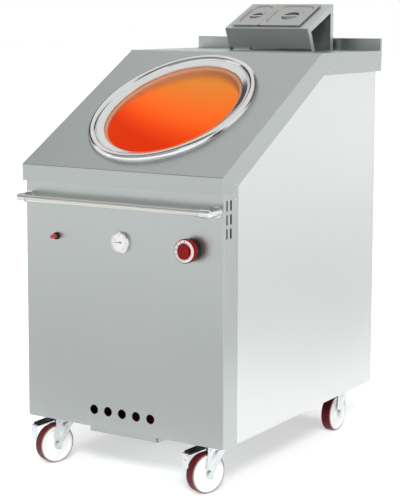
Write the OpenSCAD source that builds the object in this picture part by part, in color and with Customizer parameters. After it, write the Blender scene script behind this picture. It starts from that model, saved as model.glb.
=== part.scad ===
// Gas tandoor: a sheet-steel cabinet on casters around a clay pot with a sloped mouth.
// Millimetres, +X to the right, +Y to the back, +Z up, floor at Z = 0.

/* [Cabinet] */
// Width across the side panels
body_w = 734; // [700:1:780]
// Depth from the front panel to the rear panel
body_d = 994; // [960:1:1060]
// Thickness of the cabinet's sheet steel
sheet = 1.5; // [1:0.1:2]
// Inner radius of the folds in the sheet
bend_r = 2; // [1:0.5:3]
// Depth of the front panel's folded returns
return_d = 78; // [70:1:100]
// Thickness of the base plate
base_t = 3; // [2:0.5:5]
// Leg length of the frame's angle iron
angle_leg = 30; // [25:1:40]
// Thickness of the frame's angle iron
angle_t = 3; // [2:0.5:4]

/* [Cover] */
// Height of the slope's front edge above the floor
slope_front_z = 971; // [940:1:1000]
// Height of the shelf above the floor
shelf_z = 1315; // [1270:1:1360]
// Overhang of the cover in front of the front panel
cover_front = 13.5; // [8:0.5:20]
// Overhang of the cover behind the rear panel
cover_rear = 39; // [30:1:60]
// Height of the front skirt
front_skirt = 52; // [40:1:60]
// Height of the side skirts, square to the cover
side_skirt = 70; // [60:1:80]
// Height of the upstand above the shelf
upstand_h = 42; // [30:1:60]
// Thickness of the folded upstand
upstand_t = 12; // [10:1:20]

/* [Pot] */
// Inner radius of the pot's mouth
mouth_r = 207; // [190:1:215]
// Wall of the clay pot
pot_wall = 28; // [20:1:35]
// How far the belly swells past the mouth
belly_swell = 18; // [5:1:25]
// Height of the neck's start below the cover's front edge
neck_drop = 30; // [20:1:60]
// Height over which the belly draws in to the neck
shoulder_h = 255; // [200:5:300]
// Height over which the pot widens from its floor
hip_h = 190; // [120:5:240]
// Radius of the hole in the pot's floor
pot_floor_r = 110; // [90:1:130]
// Thickness of the insulation round the belly
jacket_t = 20; // [12:1:30]
// Wall of the drum round the insulation
drum_t = 1.2; // [1:0.1:2]
// Gap between the drum and the front panel
drum_gap = 11.7; // [5:0.1:30]
// Height of the pot stand's top above the floor
stand_z = 340; // [320:1:380]
// Thickness of the pot stand's plate
stand_t = 6; // [4:1:10]
// Radius of a pot stand leg
stand_leg_r = 12; // [10:1:16]
// Distance of the stand's legs inside its plate's edge
stand_leg_in = 20; // [14:1:40]

/* [Mouth ring] */
// Width of the clay rim that shows inside the ring
rim_show = 11; // [6:1:16]
// Width of the ring's raised bead
bead_w = 30; // [26:1:40]
// Height of the bead above the slope
bead_h = 20; // [14:1:26]
// Width of the ring's inner band
band_w = 24; // [18:1:30]
// Height of the inner band at the bead
band_h = 9; // [6:1:12]

/* [Controls] */
// Height of the row of controls
control_z = 750; // [720:1:780]
// Distance of the igniter to the left of the middle
igniter_x = 246; // [230:1:260]
// Distance of the knob to the right of the middle
knob_x = 254; // [230:1:260]
// Diameter of the knob
knob_d = 73; // [60:1:80]
// Depth of the knob's skirt
knob_depth = 20; // [18:1:30]
// Diameter of the knob's grip
grip_d = 46; // [40:1:50]
// Height of the grip in front of the knob's face
grip_h = 9; // [6:1:12]
// Width of the scale ring on the knob's face
scale_w = 9; // [6:0.5:10]
// Diameter of the black collar behind the knob
collar_d = 70; // [58:1:78]
// Depth of the collar
collar_depth = 16; // [14:1:26]
// Push travel of the knob
knob_push = 3; // [2:0.5:4]
// Diameter of the valve spindle
spindle_d = 8; // [6:0.5:10]
// Diameter of the igniter's bezel
igniter_d = 23; // [18:1:28]
// Depth of the igniter's bezel
igniter_depth = 8; // [5:1:12]
// Diameter of the igniter button
button_d = 13; // [9:0.5:14]
// Reach of the button in front of its bezel
button_reach = 20; // [12:1:24]
// Diameter of the thermometer's case
dial_d = 66; // [58:1:74]
// Depth of the thermometer's case
dial_depth = 10; // [8:1:14]
// Diameter of the thermometer's probe
probe_d = 8; // [6:0.5:10]

/* [Air openings] */
// Number of air holes in the front panel
air_count = 5; // [3:1:7]
// Diameter of an air hole
air_d = 30; // [20:1:36]
// Spacing of the air holes
air_pitch = 53; // [45:1:60]
// Height of the air holes above the cabinet's lower edge
air_z = 55; // [40:1:70]
// Length of a vent slot
slot_l = 32; // [24:1:36]
// Width of a vent slot
slot_w = 9; // [6:0.5:11]
// Spacing of the slots up the panel
slot_pitch = 41.5; // [40:0.5:46]
// Spacing of the two columns of slots
slot_gap = 22.5; // [18:0.5:28]
// Distance of the first column from the front
slot_y = 15; // [12:0.5:20]
// Distance of the top slot's upper end below the front skirt
slot_drop = 17; // [10:1:30]

/* [Towel rail] */
// Diameter of the rail
rail_d = 21; // [16:0.5:25]
// Distance of the rail's axis from the front panel
rail_reach = 55; // [50:1:70]
// Distance of the rail's axis below the front skirt
rail_drop = 49; // [36:1:60]
// Distance of a bracket's leg from the cabinet's side
rail_inset = 21; // [18:1:40]
// Diameter of the brackets
bracket_d = 27; // [25.5:0.5:32]
// Length of a bracket's sleeve on the rail
sleeve_l = 24; // [18:1:40]
// Diameter of a bracket's foot on the panel
bracket_foot_d = 34; // [30:1:38]

/* [Casters] */
// Diameter of a wheel
wheel_d = 125; // [120:1:128]
// Width of a wheel
wheel_w = 36; // [30:1:40]
// Radial thickness of the tyre
tyre_t = 5.5; // [4:0.5:8]
// Height from the floor to the top of the caster plate
caster_h = 158; // [156:1:170]
// Distance of the wheel's axle behind the swivel axis
trail = 38; // [34:1:42]
// Distance of the casters from the cabinet's sides
caster_side = 79; // [70:1:95]
// Distance of the front casters from the front panel
caster_front = 84; // [78:1:120]
// Distance of the rear casters from the rear panel
caster_back = 88; // [80:1:140]
// Turn of the front casters
front_turn = 20; // [0:1:30]
// Length of the caster plate, front to back
plate_l = 105; // [100:1:115]
// Width of the caster plate
plate_w = 85; // [80:1:95]
// Thickness of the caster plate
plate_t = 3.5; // [3:0.5:5]
// Bolt spacing of the plate, front to back
plate_bolt_l = 80; // [78:1:84]
// Bolt spacing of the plate, across
plate_bolt_w = 60; // [58:1:64]
// Sheet thickness of the fork
fork_t = 2.5; // [2:0.5:4]
// Diameter of the axle bolt
axle_d = 12; // [10:1:14]

/* [Brake] */
// Distance of the pedal's tip in front of the tyre
pedal_ahead = 12.5; // [11:0.5:18]
// Width of the pedal's lever
pedal_w = 30; // [24:1:34]
// Length of the tab that hangs from the pedal's tip
tab_l = 46; // [36:1:48]
// Thickness of the pedal's black pad
pad_t = 6; // [4:0.5:7]

/* [Crumb tray] */
// Width of the tray
tray_w = 250; // [230:1:270]
// Depth of the tray, front to back
tray_d = 420; // [405:1:460]
// Height of the tray's walls
tray_h = 15; // [10:1:16]
// Thickness of the tray's sheet
tray_t = 1.2; // [1:0.1:1.5]
// Distance of the tray's front behind the front panel
tray_front = 6; // [4:1:10]
// Side of the crumb opening in the base plate
crumb_hole = 220; // [180:1:224]

/* [Pan rack] */
// Width of the rack
rack_w = 326; // [310:1:340]
// Length of the rack's sloped top
rack_l = 206; // [206:1:220]
// Height of the top's front edge above the shelf
rack_front_h = 75; // [74:1:95]
// Slope of the rack's top
rack_slope = 24; // [18:1:24]
// Width of the rack's side flanges
rack_flange = 20; // [14:1:24]
// Offset of the rack to the right of the middle
rack_x = 32; // [20:1:60]
// Gap between the rack and the upstand
rack_gap = 16; // [5:1:40]
// Gap under the rack's front and rear walls, between the feet of its side flanges
rack_relief = 8; // [4:0.5:12]

/* [Pans] */
// Width of the small lid
small_w = 108; // [106:0.5:108.5]
// Width of the large lid
large_w = 162; // [160:0.5:162.5]
// Length of both lids
pan_l = 176; // [170:0.5:176]
// Offset of the pans to the left of the rack's middle
pan_shift = 10; // [0:0.5:14]
// Depth of the pans below the rack's top
pan_h = 50; // [40:1:50]
// Distance of a pan's body from the edge of its lid
pan_rim = 11; // [9:0.5:13]
// Height of a pan's rim above the rack's top
rim_h = 5; // [3:0.5:6]
// Overhang of a lid past its pan's rim
lid_over = 5; // [3:0.5:6]
// Thickness of the pans' and lids' sheet
pan_t = 1; // [0.8:0.1:1.2]
// Corner radius of a pan's body
pan_r = 14; // [8:1:20]
// Depth of a lid's handle recess
recess_h = 16; // [8:1:18]
// Diameter of the small lid's handle recess
small_recess_d = 46; // [40:1:60]
// Diameter of the large lid's handle recess
large_recess_d = 62; // [50:1:80]

/* [Gas] */
// Outer diameter of the gas inlet
inlet_d = 21; // [18:0.5:24]
// Length of the inlet behind the rear panel
inlet_reach = 34; // [26:1:36]
// Diameter of the inlet's lock nut
inlet_nut_d = 32; // [28:1:40]
// Thickness of the lock nut
inlet_nut_h = 4; // [3:0.5:8]
// Diameter of the inner gas pipes
pipe_d = 12; // [10:1:16]
// Height of the inlet above the floor
inlet_z = 300; // [280:1:320]
// Diameter of the burner head
burner_d = 150; // [120:1:170]
// Height of the burner head
burner_h = 38; // [25:1:45]
// Distance of the burner head below the pot stand
burner_drop = 34; // [25:1:45]

/* [Fasteners] */
// Diameter of a panel screw's head
screw_head_d = 9; // [7:0.5:10]
// Height of a panel screw's head
screw_head_h = 2.2; // [1.5:0.1:3]
// Diameter of a panel screw's shank
screw_d = 4; // [3:0.5:5]
// Diameter of a caster bolt
bolt_d = 8; // [6:1:9]
// Height of a caster bolt's head and nut
bolt_head_h = 5; // [4:0.5:5.5]

/* [Hidden] */
$fn = 64;

// Clearances
// Radial play of a turning or sliding fit
run_gap = 0.05;
// Play of a piece that is fixed or rests in its place
seat_gap = 0.2;
// Play round a moving piece that passes a hole without touching it
loose_gap = 0.5;
// Room between sheets that lie beside each other
seam = 0.6;
// Length by which a cut runs past the piece it cuts
past = 1;
// Size of the blocks that cut off everything on one side of a plane
far = 3000;

// Cabinet
half_w = body_w / 2;
body_z = caster_h;
base_top = body_z + base_t;
skirt_gap = 1.5;
cover_w = body_w + 2 * (skirt_gap + sheet);
half_cover = cover_w / 2;
frame_x = half_w - sheet;
frame_back = body_d - sheet;
seam_y = return_d + seam;

// Pot: the belly sets the drum, the drum sets how far back the pot stands
belly_r = mouth_r + belly_swell;
pot_out_r = belly_r + pot_wall;
drum_in_r = pot_out_r + jacket_t + 2 * seat_gap;
drum_r = drum_in_r + drum_t;
pot_y = sheet + drum_gap + drum_r;

// Cover: the mouth is in the middle of the slope
break_y = 2 * pot_y + cover_front;
slope_run = break_y + cover_front;
slope_a = atan2(shelf_z - slope_front_z, slope_run);
skirt_z = slope_front_z - front_skirt;
cover_back = body_d + cover_rear;
upstand_y = cover_back - upstand_t;
upstand_z = shelf_z + upstand_h;
fold_r = bend_r + sheet;
function slope_z(y) = slope_front_z + (y + cover_front) * tan(slope_a);
// Points on the line that lies a depth below the cover, on the slope, at the break and on the shelf
function on_slope(y, depth) = [y, slope_z(y) - depth / cos(slope_a)];
function at_break(depth) = [break_y + depth * tan(slope_a / 2), shelf_z - depth];
function on_shelf(y, depth) = [y, shelf_z - depth];
function below_cover(y0, y1, depth) = [on_slope(y0, depth), at_break(depth), on_shelf(y1, depth)];
skirt_heel = (skirt_z + side_skirt / cos(slope_a) - slope_front_z) / tan(slope_a) - cover_front;

// Depth of the whole object, and where its middle puts the front panel
reach_front = rail_reach + bracket_d / 2;
front_y = (reach_front - cover_back) / 2;

// Controls
knob_face = collar_depth + knob_push + seam + knob_depth;
knob_back = knob_face - knob_depth;
// Knob wall in front of the spindle's end
spindle_cover = 6;
spindle_tip = knob_face - spindle_cover;
// Spare depth of the knob's bore past its push travel
bore_spare = 1;
// Bevel on the edges of the turned knobs and cases
edge_r = 2.5;
valve_front = 35;
valve_l = 50;
valve_w = 40;
valve_h = 50;
valve_neck = 7;
spindle_hold = 25;
spindle_in = valve_front + spindle_hold;
dial_floor = dial_depth * 0.4;
dial_wall = 3;
dial_in_r = dial_d / 2 - dial_wall;
probe_tip = pot_y - belly_r - pot_wall / 2;
button_in = 12;
button_travel = 6;
button_edge = 2;
button_face = igniter_depth + button_reach;

// Casters
wheel_r = wheel_d / 2;
fork_gap = 1.5;
fork_in = wheel_w / 2 + fork_gap;
fork_out = fork_in + fork_t;
plate_z = caster_h - plate_t;
race_h = 6;
race_r = 27;
crown_top = plate_z - race_h - 2 * seat_gap;
crown_t = 5;
crown_z = crown_top - crown_t;
king_r = 6;
king_lip = 5;
king_head_h = 4;
king_disc = 4;
boss_r = 14;
casters = [
    [-half_w + caster_side, caster_front, -front_turn],
    [half_w - caster_side, caster_front, -front_turn],
    [-half_w + caster_side, body_d - caster_back, 0],
    [half_w - caster_side, body_d - caster_back, 0]
];

// Brake pedal, in the caster's own frame with the swivel axis at the origin
pivot_behind = 5;
pivot_drop = 8;
pivot_y = -trail + pivot_behind;
pivot_z = crown_z - pivot_drop;
pivot_r = 3.5;
pivot_hub_r = 5.5;
pivot_end = 2;
lever_t = 2.5;
heel_ahead = 12;
pad_clear = 2;
lever_heel = -trail - heel_ahead;
lever_heel_z = plate_z - bolt_head_h - pad_t - pad_clear;
lever_drop = 9;
lever_tip_z = lever_heel_z - lever_drop;
lever_tip = -trail - wheel_r - pedal_ahead;

// Crumb tray
runner_t = 1.5;
runner_lip = 8;
tray_gap = 1;
tray_top = body_z - runner_t - seam;
tray_z = tray_top - tray_h;
runner_x = tray_w / 2 + tray_gap;
runner_z = tray_z - seat_gap;
runner_in = 4;
runner_foot = 14;

// Rack
rack_front_y = upstand_y - rack_gap - rack_l * cos(rack_slope);
rack_back_y = upstand_y - rack_gap;
rack_z = shelf_z + seat_gap;
rack_front_z = rack_z + rack_front_h;
rack_foot_y = rack_front_y + rack_front_h * tan(rack_slope);
rack_back_z = rack_front_z + rack_l * sin(rack_slope);
pan_v = (rack_l - pan_l) / 2;
pan_split = seam;
pans_w = small_w + large_w + pan_split;
pans_x = rack_x - pan_shift;
small_u = pans_x - pans_w / 2 + small_w / 2;
large_u = pans_x + pans_w / 2 - large_w / 2;

// Gas train
burner_top = stand_z - stand_t - burner_drop;
burner_z = burner_top - burner_h;
pipe_r = pipe_d / 2;
feed_z = burner_z + burner_h / 2;
feed_y = 60;
inlet_in = 20;
elbow_out = 18;
feed_x = knob_x - valve_w / 2 - elbow_out;
stand_bar = 10;
stand_leg_at = (drum_r - stand_leg_r - stand_leg_in) / sqrt(2);
burner_foot_h = 12;
burner_foot_r = 18;
bar_top = burner_z - burner_foot_h;
burner_wall = 8;
burner_rim = 22;
port_count = 24;
port_r = 2.5;
port_h = 12;
tube_l = 140;
tube_mouth = pot_y - tube_l;
tube_r = 16;
tube_wall = 4;
flare_w = 6;
flare_l = 10;
injector_r = tube_r - tube_wall - seat_gap;
injector_l = 12;
injector_gap = 8;
injector_y = tube_mouth - injector_gap;
union_r = pipe_r + 3;
union_l = 18;
lead_r = 2.5;
lead_gap = 10;
lead_y = feed_y + lead_gap;
electrode_gap = 18;
electrode_x = burner_d / 2 + electrode_gap;
electrode_r = 4;
spark_r = 1.2;
spark_l = 14;

module at_front() translate([0, front_y, 0]) children();
module both_sides() {
    children();
    mirror([1, 0, 0]) children();
}
// A profile drawn in Y and Z, extruded across the width
module across(x0, x1) translate([x0, 0, 0]) rotate([90, 0, 90]) linear_extrude(x1 - x0) children();
module rod_x(r, x0, x1) translate([x0, 0, 0]) rotate([0, 90, 0]) cylinder(r = r, h = x1 - x0);
module rod_y(r, y0, y1) translate([0, y0, 0]) rotate([-90, 0, 0]) cylinder(r = r, h = y1 - y0);
module rod_z(r, z0, z1) translate([0, 0, z0]) cylinder(r = r, h = z1 - z0);
// A profile of radius and reach, turned about a line that points out of the front panel
module turned_to_front() rotate([90, 0, 0]) rotate_extrude() children();
module control_at(x) translate([x, 0, control_z]) children();

function on_arc(c, r, a) = c + r * [cos(a), sin(a)];
function arc(c, r, a0, a1, n = 6) = [for (i = [0:n]) on_arc(c, r, a0 + (a1 - a0) * i / n)];
function unit(v) = v / norm(v);
// Round the corner at b, between the lines to a and c
function fold(a, b, c, r) =
    let (u = unit(a - b), v = unit(c - b), half = acos(u * v) / 2)
    let (mid = b + unit(u + v) * r / sin(half), s = b + u * r / tan(half) - mid)
    let (e = b + v * r / tan(half) - mid, a0 = atan2(s[1], s[0]))
    let (turn = (atan2(e[1], e[0]) - a0 + 540) % 360 - 180)
    arc(mid, r, a0, a0 + turn);
function folds(p, r) = [for (i = [1:len(p) - 2]) each fold(p[i - 1], p[i], p[i + 1], r[i - 1])];
function folded(p, r) = concat([p[0]], folds(p, r), [p[len(p) - 1]]);
function reversed(p) = [for (i = [len(p) - 1:-1:0]) p[i]];

// Everything that lies deeper than a given depth below the cover
module under_cover(depth) across(-far, far) polygon(concat(
    [[-far, 0]], [on_slope(-far, depth)], [at_break(depth)], [on_shelf(far, depth)], [[far, 0]]));

// Cabinet

module slot(l, w) {
    square([w, l - w], center = true);
    translate([0, (l - w) / 2]) circle(d = w);
    translate([0, -(l - w) / 2]) circle(d = w);
}

module return_slots() {
    top = skirt_z - slot_drop - slot_l / 2;
    for (col = [0:1]) {
        for (row = [0:2]) {
            translate([slot_y + col * slot_gap, top - row * slot_pitch]) slot(slot_l, slot_w);
        }
    }
}

module front_outline() polygon(concat(
    [[-half_w, return_d]], arc([-half_w + fold_r, fold_r], fold_r, 180, 270),
    arc([half_w - fold_r, fold_r], fold_r, 270, 360), [[half_w, return_d], [half_w - sheet, return_d]],
    arc([half_w - fold_r, fold_r], bend_r, 360, 270),
    arc([-half_w + fold_r, fold_r], bend_r, 270, 180), [[-half_w + sheet, return_d]]));

return_screw_in = 16;
return_screw_y = return_d - return_screw_in;
return_screw_z = [body_z + 2 * return_screw_in, skirt_z - return_screw_in];

module front_panel() at_front() color("silver") difference() {
    intersection() {
        translate([0, 0, body_z]) linear_extrude(shelf_z) front_outline();
        under_cover(sheet + seam);
    }
    across(-far, far) return_slots();
    for (i = [0:air_count - 1]) {
        translate([(i - (air_count - 1) / 2) * air_pitch, 0, body_z + air_z])
            rod_y(air_d / 2, -past, sheet + past);
    }
    control_at(-igniter_x) rod_y(igniter_neck_r + seat_gap, -past, sheet + past);
    control_at(0) rod_y(probe_d / 2 + seat_gap, -past, sheet + past);
    control_at(knob_x) rod_y(spindle_d / 2 + loose_gap, -past, sheet + past);
    both_sides() skirt_screw_holes();
    both_sides() for (z = return_screw_z) {
        translate([0, return_screw_y, z]) rod_x(screw_d / 2 + seat_gap, half_w - sheet - past, half_w + past);
    }
}

// Places of the skirt screws, in Y and Z
skirt_screw_up = 13;
skirt_screw_from = 45;
skirt_screw_depth = side_skirt - skirt_screw_up;
skirt_screws = [
    on_slope(return_screw_y, skirt_screw_depth), on_slope(break_y - skirt_screw_from, skirt_screw_depth),
    on_shelf(break_y + skirt_screw_from, skirt_screw_depth),
    on_shelf(body_d - skirt_screw_from, skirt_screw_depth)
];
skirt_shank = sheet + skirt_gap + sheet - seat_gap;

module skirt_screw_holes() for (p = skirt_screws) {
    translate([0, p[0], p[1]]) rod_x(screw_d / 2 + seat_gap, half_w - sheet - past, half_cover + past);
}

module side_panel() at_front() color("gainsboro") difference() {
    intersection() {
        translate([half_w - sheet, seam_y, body_z]) cube([sheet, frame_back - seam_y, shelf_z]);
        under_cover(sheet + seam);
    }
    skirt_screw_holes();
}
module right_side_panel() side_panel();
module left_side_panel() mirror([1, 0, 0]) side_panel();

rear_top = shelf_z - sheet - seam;
rear_screw_end = 60;
rear_screw_z = [for (i = [0:3]) body_z + rear_screw_end + i * (rear_top - body_z - 2 * rear_screw_end) / 3];
rear_screw_x = half_w - angle_leg / 2;
rear_slot_z = 150;
rear_slot_l = 90;
rear_slot_w = 10;
rear_slot_pitch = 50;

module rear_panel() at_front() color("silver") difference() {
    translate([-half_w, frame_back, body_z]) cube([body_w, sheet, rear_top - body_z]);
    translate([0, frame_back - past, body_z + rear_slot_z]) for (col = [-2:2]) {
        translate([col * rear_slot_pitch, 0, 0]) rotate([-90, 0, 0])
            linear_extrude(sheet + 2 * past) slot(rear_slot_l, rear_slot_w);
    }
    translate([knob_x, 0, inlet_z]) rod_y(inlet_d / 2 + seat_gap, frame_back - past, body_d + past);
    both_sides() for (z = rear_screw_z) {
        translate([rear_screw_x, 0, z]) rod_y(screw_d / 2 + seat_gap, frame_back - past, body_d + past);
    }
}

module at_casters() for (c = casters) {
    translate([c[0], c[1], 0]) children();
}
module at_plate_bolts() at_casters() for (x = [-1, 1], y = [-1, 1]) {
    translate([x * plate_bolt_w / 2, y * plate_bolt_l / 2, 0]) children();
}

module base_plate() at_front() color("gray") difference() {
    translate([0, (sheet + frame_back) / 2, body_z]) linear_extrude(base_t)
        rounded(2 * frame_x, frame_back - sheet, fold_r);
    translate([-crumb_hole / 2, pot_y - crumb_hole / 2, body_z - past])
        cube([crumb_hole, crumb_hole, base_t + 2 * past]);
    at_plate_bolts() rod_z(bolt_d / 2 + seat_gap, body_z - past, base_top + past);
}

// Corner of angle iron with its heel at the origin, legs along -X and +Y
module angle_iron() {
    translate([-angle_leg, 0]) square([angle_leg, angle_t]);
    translate([-angle_t, 0]) square([angle_t, angle_leg]);
}

// Side of the top angle, from the cover down to a depth below its underside
module top_angle(depth) polygon(concat(
    below_cover(fold_r, frame_back, 0), reversed(below_cover(fold_r, frame_back, sheet + seat_gap + depth))));

module chassis_frame() at_front() color("dimgray") both_sides() intersection() {
    union() {
        translate([frame_x, fold_r, base_top]) linear_extrude(shelf_z) angle_iron();
        translate([frame_x, frame_back, base_top]) linear_extrude(shelf_z) mirror([0, 1]) angle_iron();
        translate([frame_x, break_y, base_top]) linear_extrude(shelf_z) angle_iron();
        across(frame_x - angle_leg, frame_x) top_angle(angle_t);
        across(frame_x - angle_t, frame_x) top_angle(angle_leg);
        translate([-past, frame_back - angle_t, shelf_z - sheet - angle_leg])
            cube([frame_x, angle_t, angle_leg]);
    }
    under_cover(sheet + seat_gap);
    translate([-past, 0, 0]) cube(far);
}

// Cover

cover_outer = [
    [-cover_front, skirt_z], [-cover_front, slope_front_z], [break_y, shelf_z], [upstand_y, shelf_z],
    [upstand_y, upstand_z], [cover_back, upstand_z], [cover_back, shelf_z - side_skirt]
];
cover_inner = [
    [-cover_front + sheet, skirt_z], on_slope(-cover_front + sheet, sheet), at_break(sheet),
    [upstand_y + sheet, shelf_z - sheet], [upstand_y + sheet, upstand_z - sheet],
    [cover_back - sheet, upstand_z - sheet], [cover_back - sheet, shelf_z - side_skirt]
];
cover_outer_line = folded(cover_outer, [fold_r, fold_r, bend_r, fold_r, fold_r]);
cover_inner_line = folded(cover_inner, [bend_r, bend_r, fold_r, bend_r, bend_r]);
mouth_hole_gap = 2;
mouth_hole_r = mouth_r + pot_wall + mouth_hole_gap;

module top_cover() at_front() color("silver") difference() {
    union() {
        across(-half_cover, half_cover) polygon(concat(cover_outer_line, reversed(cover_inner_line)));
        both_sides() across(half_cover - sheet, half_cover) polygon(concat(
            cover_outer_line, [at_break(side_skirt), [skirt_heel, skirt_z]]));
    }
    translate([0, pot_y, 0]) rod_z(mouth_hole_r, skirt_z, upstand_z);
    both_sides() skirt_screw_holes();
}

// Domed screw with its seat at the origin and its head along +Z
module screw(shank) {
    rotate_extrude() polygon(concat(
        [[0, -shank], [screw_d / 2, -shank], [screw_d / 2, 0], [screw_head_d / 2, 0]],
        [for (i = [1:4]) [screw_head_d / 2 * cos(i * 22.5), screw_head_h * sin(i * 22.5)]]));
}

module panel_screws() at_front() color("lightgray") both_sides() {
    for (p = skirt_screws) {
        translate([half_cover, p[0], p[1]]) rotate([0, 90, 0]) screw(skirt_shank);
    }
    for (z = return_screw_z) {
        translate([half_w, return_screw_y, z]) rotate([0, 90, 0]) screw(sheet - seat_gap);
    }
    for (z = rear_screw_z) {
        translate([rear_screw_x, body_d, z]) rotate([-90, 0, 0]) screw(sheet - seat_gap);
    }
}

// Towel rail

rail_z = skirt_z - rail_drop;
rail_leg_x = half_w - rail_inset;
rail_end = rail_leg_x - seat_gap;

module towel_rail() at_front() color("whitesmoke")
    translate([0, -rail_reach, rail_z]) rod_x(rail_d / 2, -rail_end, rail_end);

bracket_foot_t = 4;

module rail_brackets() at_front() color("white") both_sides()
    translate([rail_leg_x, -rail_reach, rail_z]) difference() {
    union() {
        rod_x(bracket_d / 2, -sleeve_l, 0);
        sphere(d = bracket_d);
        rod_y(bracket_d / 2, 0, rail_reach);
        rod_y(bracket_foot_d / 2, rail_reach - bracket_foot_t, rail_reach);
    }
    rod_x(rail_d / 2 + seat_gap, -sleeve_l - past, 0);
}

// Pot

ring_in = mouth_r + rim_show;
ring_rise = 0.05;
// Mouth ellipse on the slope: half axes across the slope and along it, grown outwards by an offset
function mouth_x(off) = ring_in + off;
function mouth_s(off) = mouth_r / cos(slope_a) + rim_show + off;
bead_steps = 8;
band_edge = 1.5;
// Section of the ring: distance outwards from its inner edge, height above the slope
ring_section = concat(
    [[0, ring_rise], [0, band_h - 2 * band_edge], [band_edge, band_h - band_edge], [band_w, band_h]],
    [for (i = [1:bead_steps]) let (a = 180 - i * 180 / bead_steps)
        [band_w + bead_w / 2 * (1 + cos(a)), max(ring_rise, bead_h * sin(a))]]);
ring_steps = 96;
ring_n = len(ring_section);
ring_points = [for (i = [0:ring_steps - 1], p = ring_section)
    [mouth_x(p[0]) * cos(i * 360 / ring_steps), mouth_s(p[0]) * sin(i * 360 / ring_steps), p[1]]];
function ring_at(i, j) = (i % ring_steps) * ring_n + j % ring_n;
ring_faces = [for (i = [0:ring_steps - 1], j = [0:ring_n - 1], half = [0:1])
    half == 0 ? [ring_at(i, j), ring_at(i + 1, j), ring_at(i + 1, j + 1)]
              : [ring_at(i, j), ring_at(i + 1, j + 1), ring_at(i, j + 1)]];

module mouth_ring() at_front() color("white")
    translate([0, pot_y, slope_z(pot_y)]) rotate([slope_a, 0, 0]) polyhedron(ring_points, ring_faces);

neck_z = slope_z(pot_y - mouth_r - pot_wall) - neck_drop;
belly_z = neck_z - shoulder_h;
hip_z = stand_z + hip_h;
pot_top = slope_z(pot_y + pot_out_r);
hip_in = 30;
floor_rise = 12;
// The pot's inner and outer wall from the floor to the mouth, as radius and height
pot_inner = [
    [pot_floor_r, stand_z], [pot_floor_r, stand_z + pot_wall],
    [belly_r - hip_in, stand_z + pot_wall + floor_rise],
    [belly_r, hip_z], [belly_r, belly_z], [mouth_r, neck_z], [mouth_r, pot_top]
];
pot_outer = [
    [belly_r - hip_in + pot_wall / 2, stand_z], [pot_out_r, hip_z], [pot_out_r, belly_z],
    [mouth_r + pot_wall, neck_z], [mouth_r + pot_wall, pot_top]
];
// Depth of the clay's rim below the cover's top
clay_depth = 1;

module probe_hole() control_at(0) rod_y(probe_d / 2 + seat_gap, 0, probe_tip + seat_gap);

module clay_pot() at_front() color("orangered") difference() {
    intersection() {
        translate([0, pot_y, 0]) rotate_extrude() polygon(concat(pot_inner, reversed(pot_outer)));
        under_cover(clay_depth);
    }
    probe_hole();
}

// Depth of the insulation and the drum below the cover's top
jacket_gap = 6;
jacket_top = sheet + jacket_gap;

module insulation_jacket() at_front() color("beige") difference() {
    intersection() {
        translate([0, pot_y, 0]) rotate_extrude() polygon(concat(
            [for (p = pot_outer) [p[0] + seat_gap, p[1]]],
            [[drum_in_r - seat_gap, pot_top], [drum_in_r - seat_gap, stand_z]]));
        under_cover(jacket_top);
    }
    probe_hole();
}

module pot_drum() at_front() color("lightslategray") difference() {
    intersection() {
        translate([0, pot_y, 0]) difference() {
            rod_z(drum_r, stand_z, pot_top);
            rod_z(drum_in_r, stand_z - past, pot_top + past);
        }
        under_cover(jacket_top);
    }
    probe_hole();
}

module pot_stand() at_front() color("dimgray") translate([0, pot_y, 0]) {
    difference() {
        rod_z(drum_r, stand_z - stand_t, stand_z);
        rod_z(pot_floor_r, stand_z - stand_t - past, stand_z + past);
    }
    for (x = [-1, 1], y = [-1, 1]) {
        translate([x * stand_leg_at, y * stand_leg_at, 0]) rod_z(stand_leg_r, base_top, stand_z - stand_t);
    }
    both_sides() translate([stand_leg_at - stand_bar, -stand_leg_at, bar_top - stand_bar])
        cube([2 * stand_bar, 2 * stand_leg_at, stand_bar]);
    translate([-stand_leg_at, -stand_bar, bar_top - stand_bar])
        cube([2 * stand_leg_at, 2 * stand_bar, stand_bar]);
}

// Gas train

module burner() at_front() color("darkslategray") translate([0, pot_y, 0]) difference() {
    union() {
        rod_z(burner_d / 2, burner_z, burner_top);
        rod_z(burner_foot_r, bar_top, burner_z);
        translate([0, 0, feed_z]) rod_y(tube_r, tube_mouth - pot_y, 0);
        translate([0, 0, feed_z]) rod_y(tube_r + flare_w, tube_mouth - pot_y, tube_mouth - pot_y + flare_l);
    }
    rod_z(burner_d / 2 - burner_rim, burner_z + burner_wall, burner_top + past);
    translate([0, 0, feed_z]) rod_y(tube_r - tube_wall, tube_mouth - pot_y - past, 0);
    for (i = [0:port_count - 1]) {
        rotate([0, 0, i * 360 / port_count]) translate([(burner_d - burner_rim) / 2, 0, 0])
            rod_z(port_r, burner_top - port_h, burner_top + past);
    }
}

// A run of pipe through a list of points, with a ball at each bend
module pipe_run(points, r) {
    for (i = [0:len(points) - 2]) {
        d = points[i + 1] - points[i];
        translate(points[i]) rotate([0, acos(d[2] / norm(d)), atan2(d[1], d[0])])
            cylinder(r = r, h = norm(d));
    }
    for (i = [1:len(points) - 2]) {
        translate(points[i]) sphere(r = r);
    }
}

module burner_pipe() at_front() color("peru") {
    pipe_run([
        [knob_x - valve_w / 2, feed_y, control_z], [feed_x, feed_y, control_z], [feed_x, feed_y, feed_z],
        [0, feed_y, feed_z], [0, injector_y, feed_z]], pipe_r);
    translate([0, 0, feed_z]) rod_y(union_r, injector_y - union_l, injector_y);
    translate([0, 0, feed_z]) rod_y(injector_r, injector_y, injector_y + injector_l);
}

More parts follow.
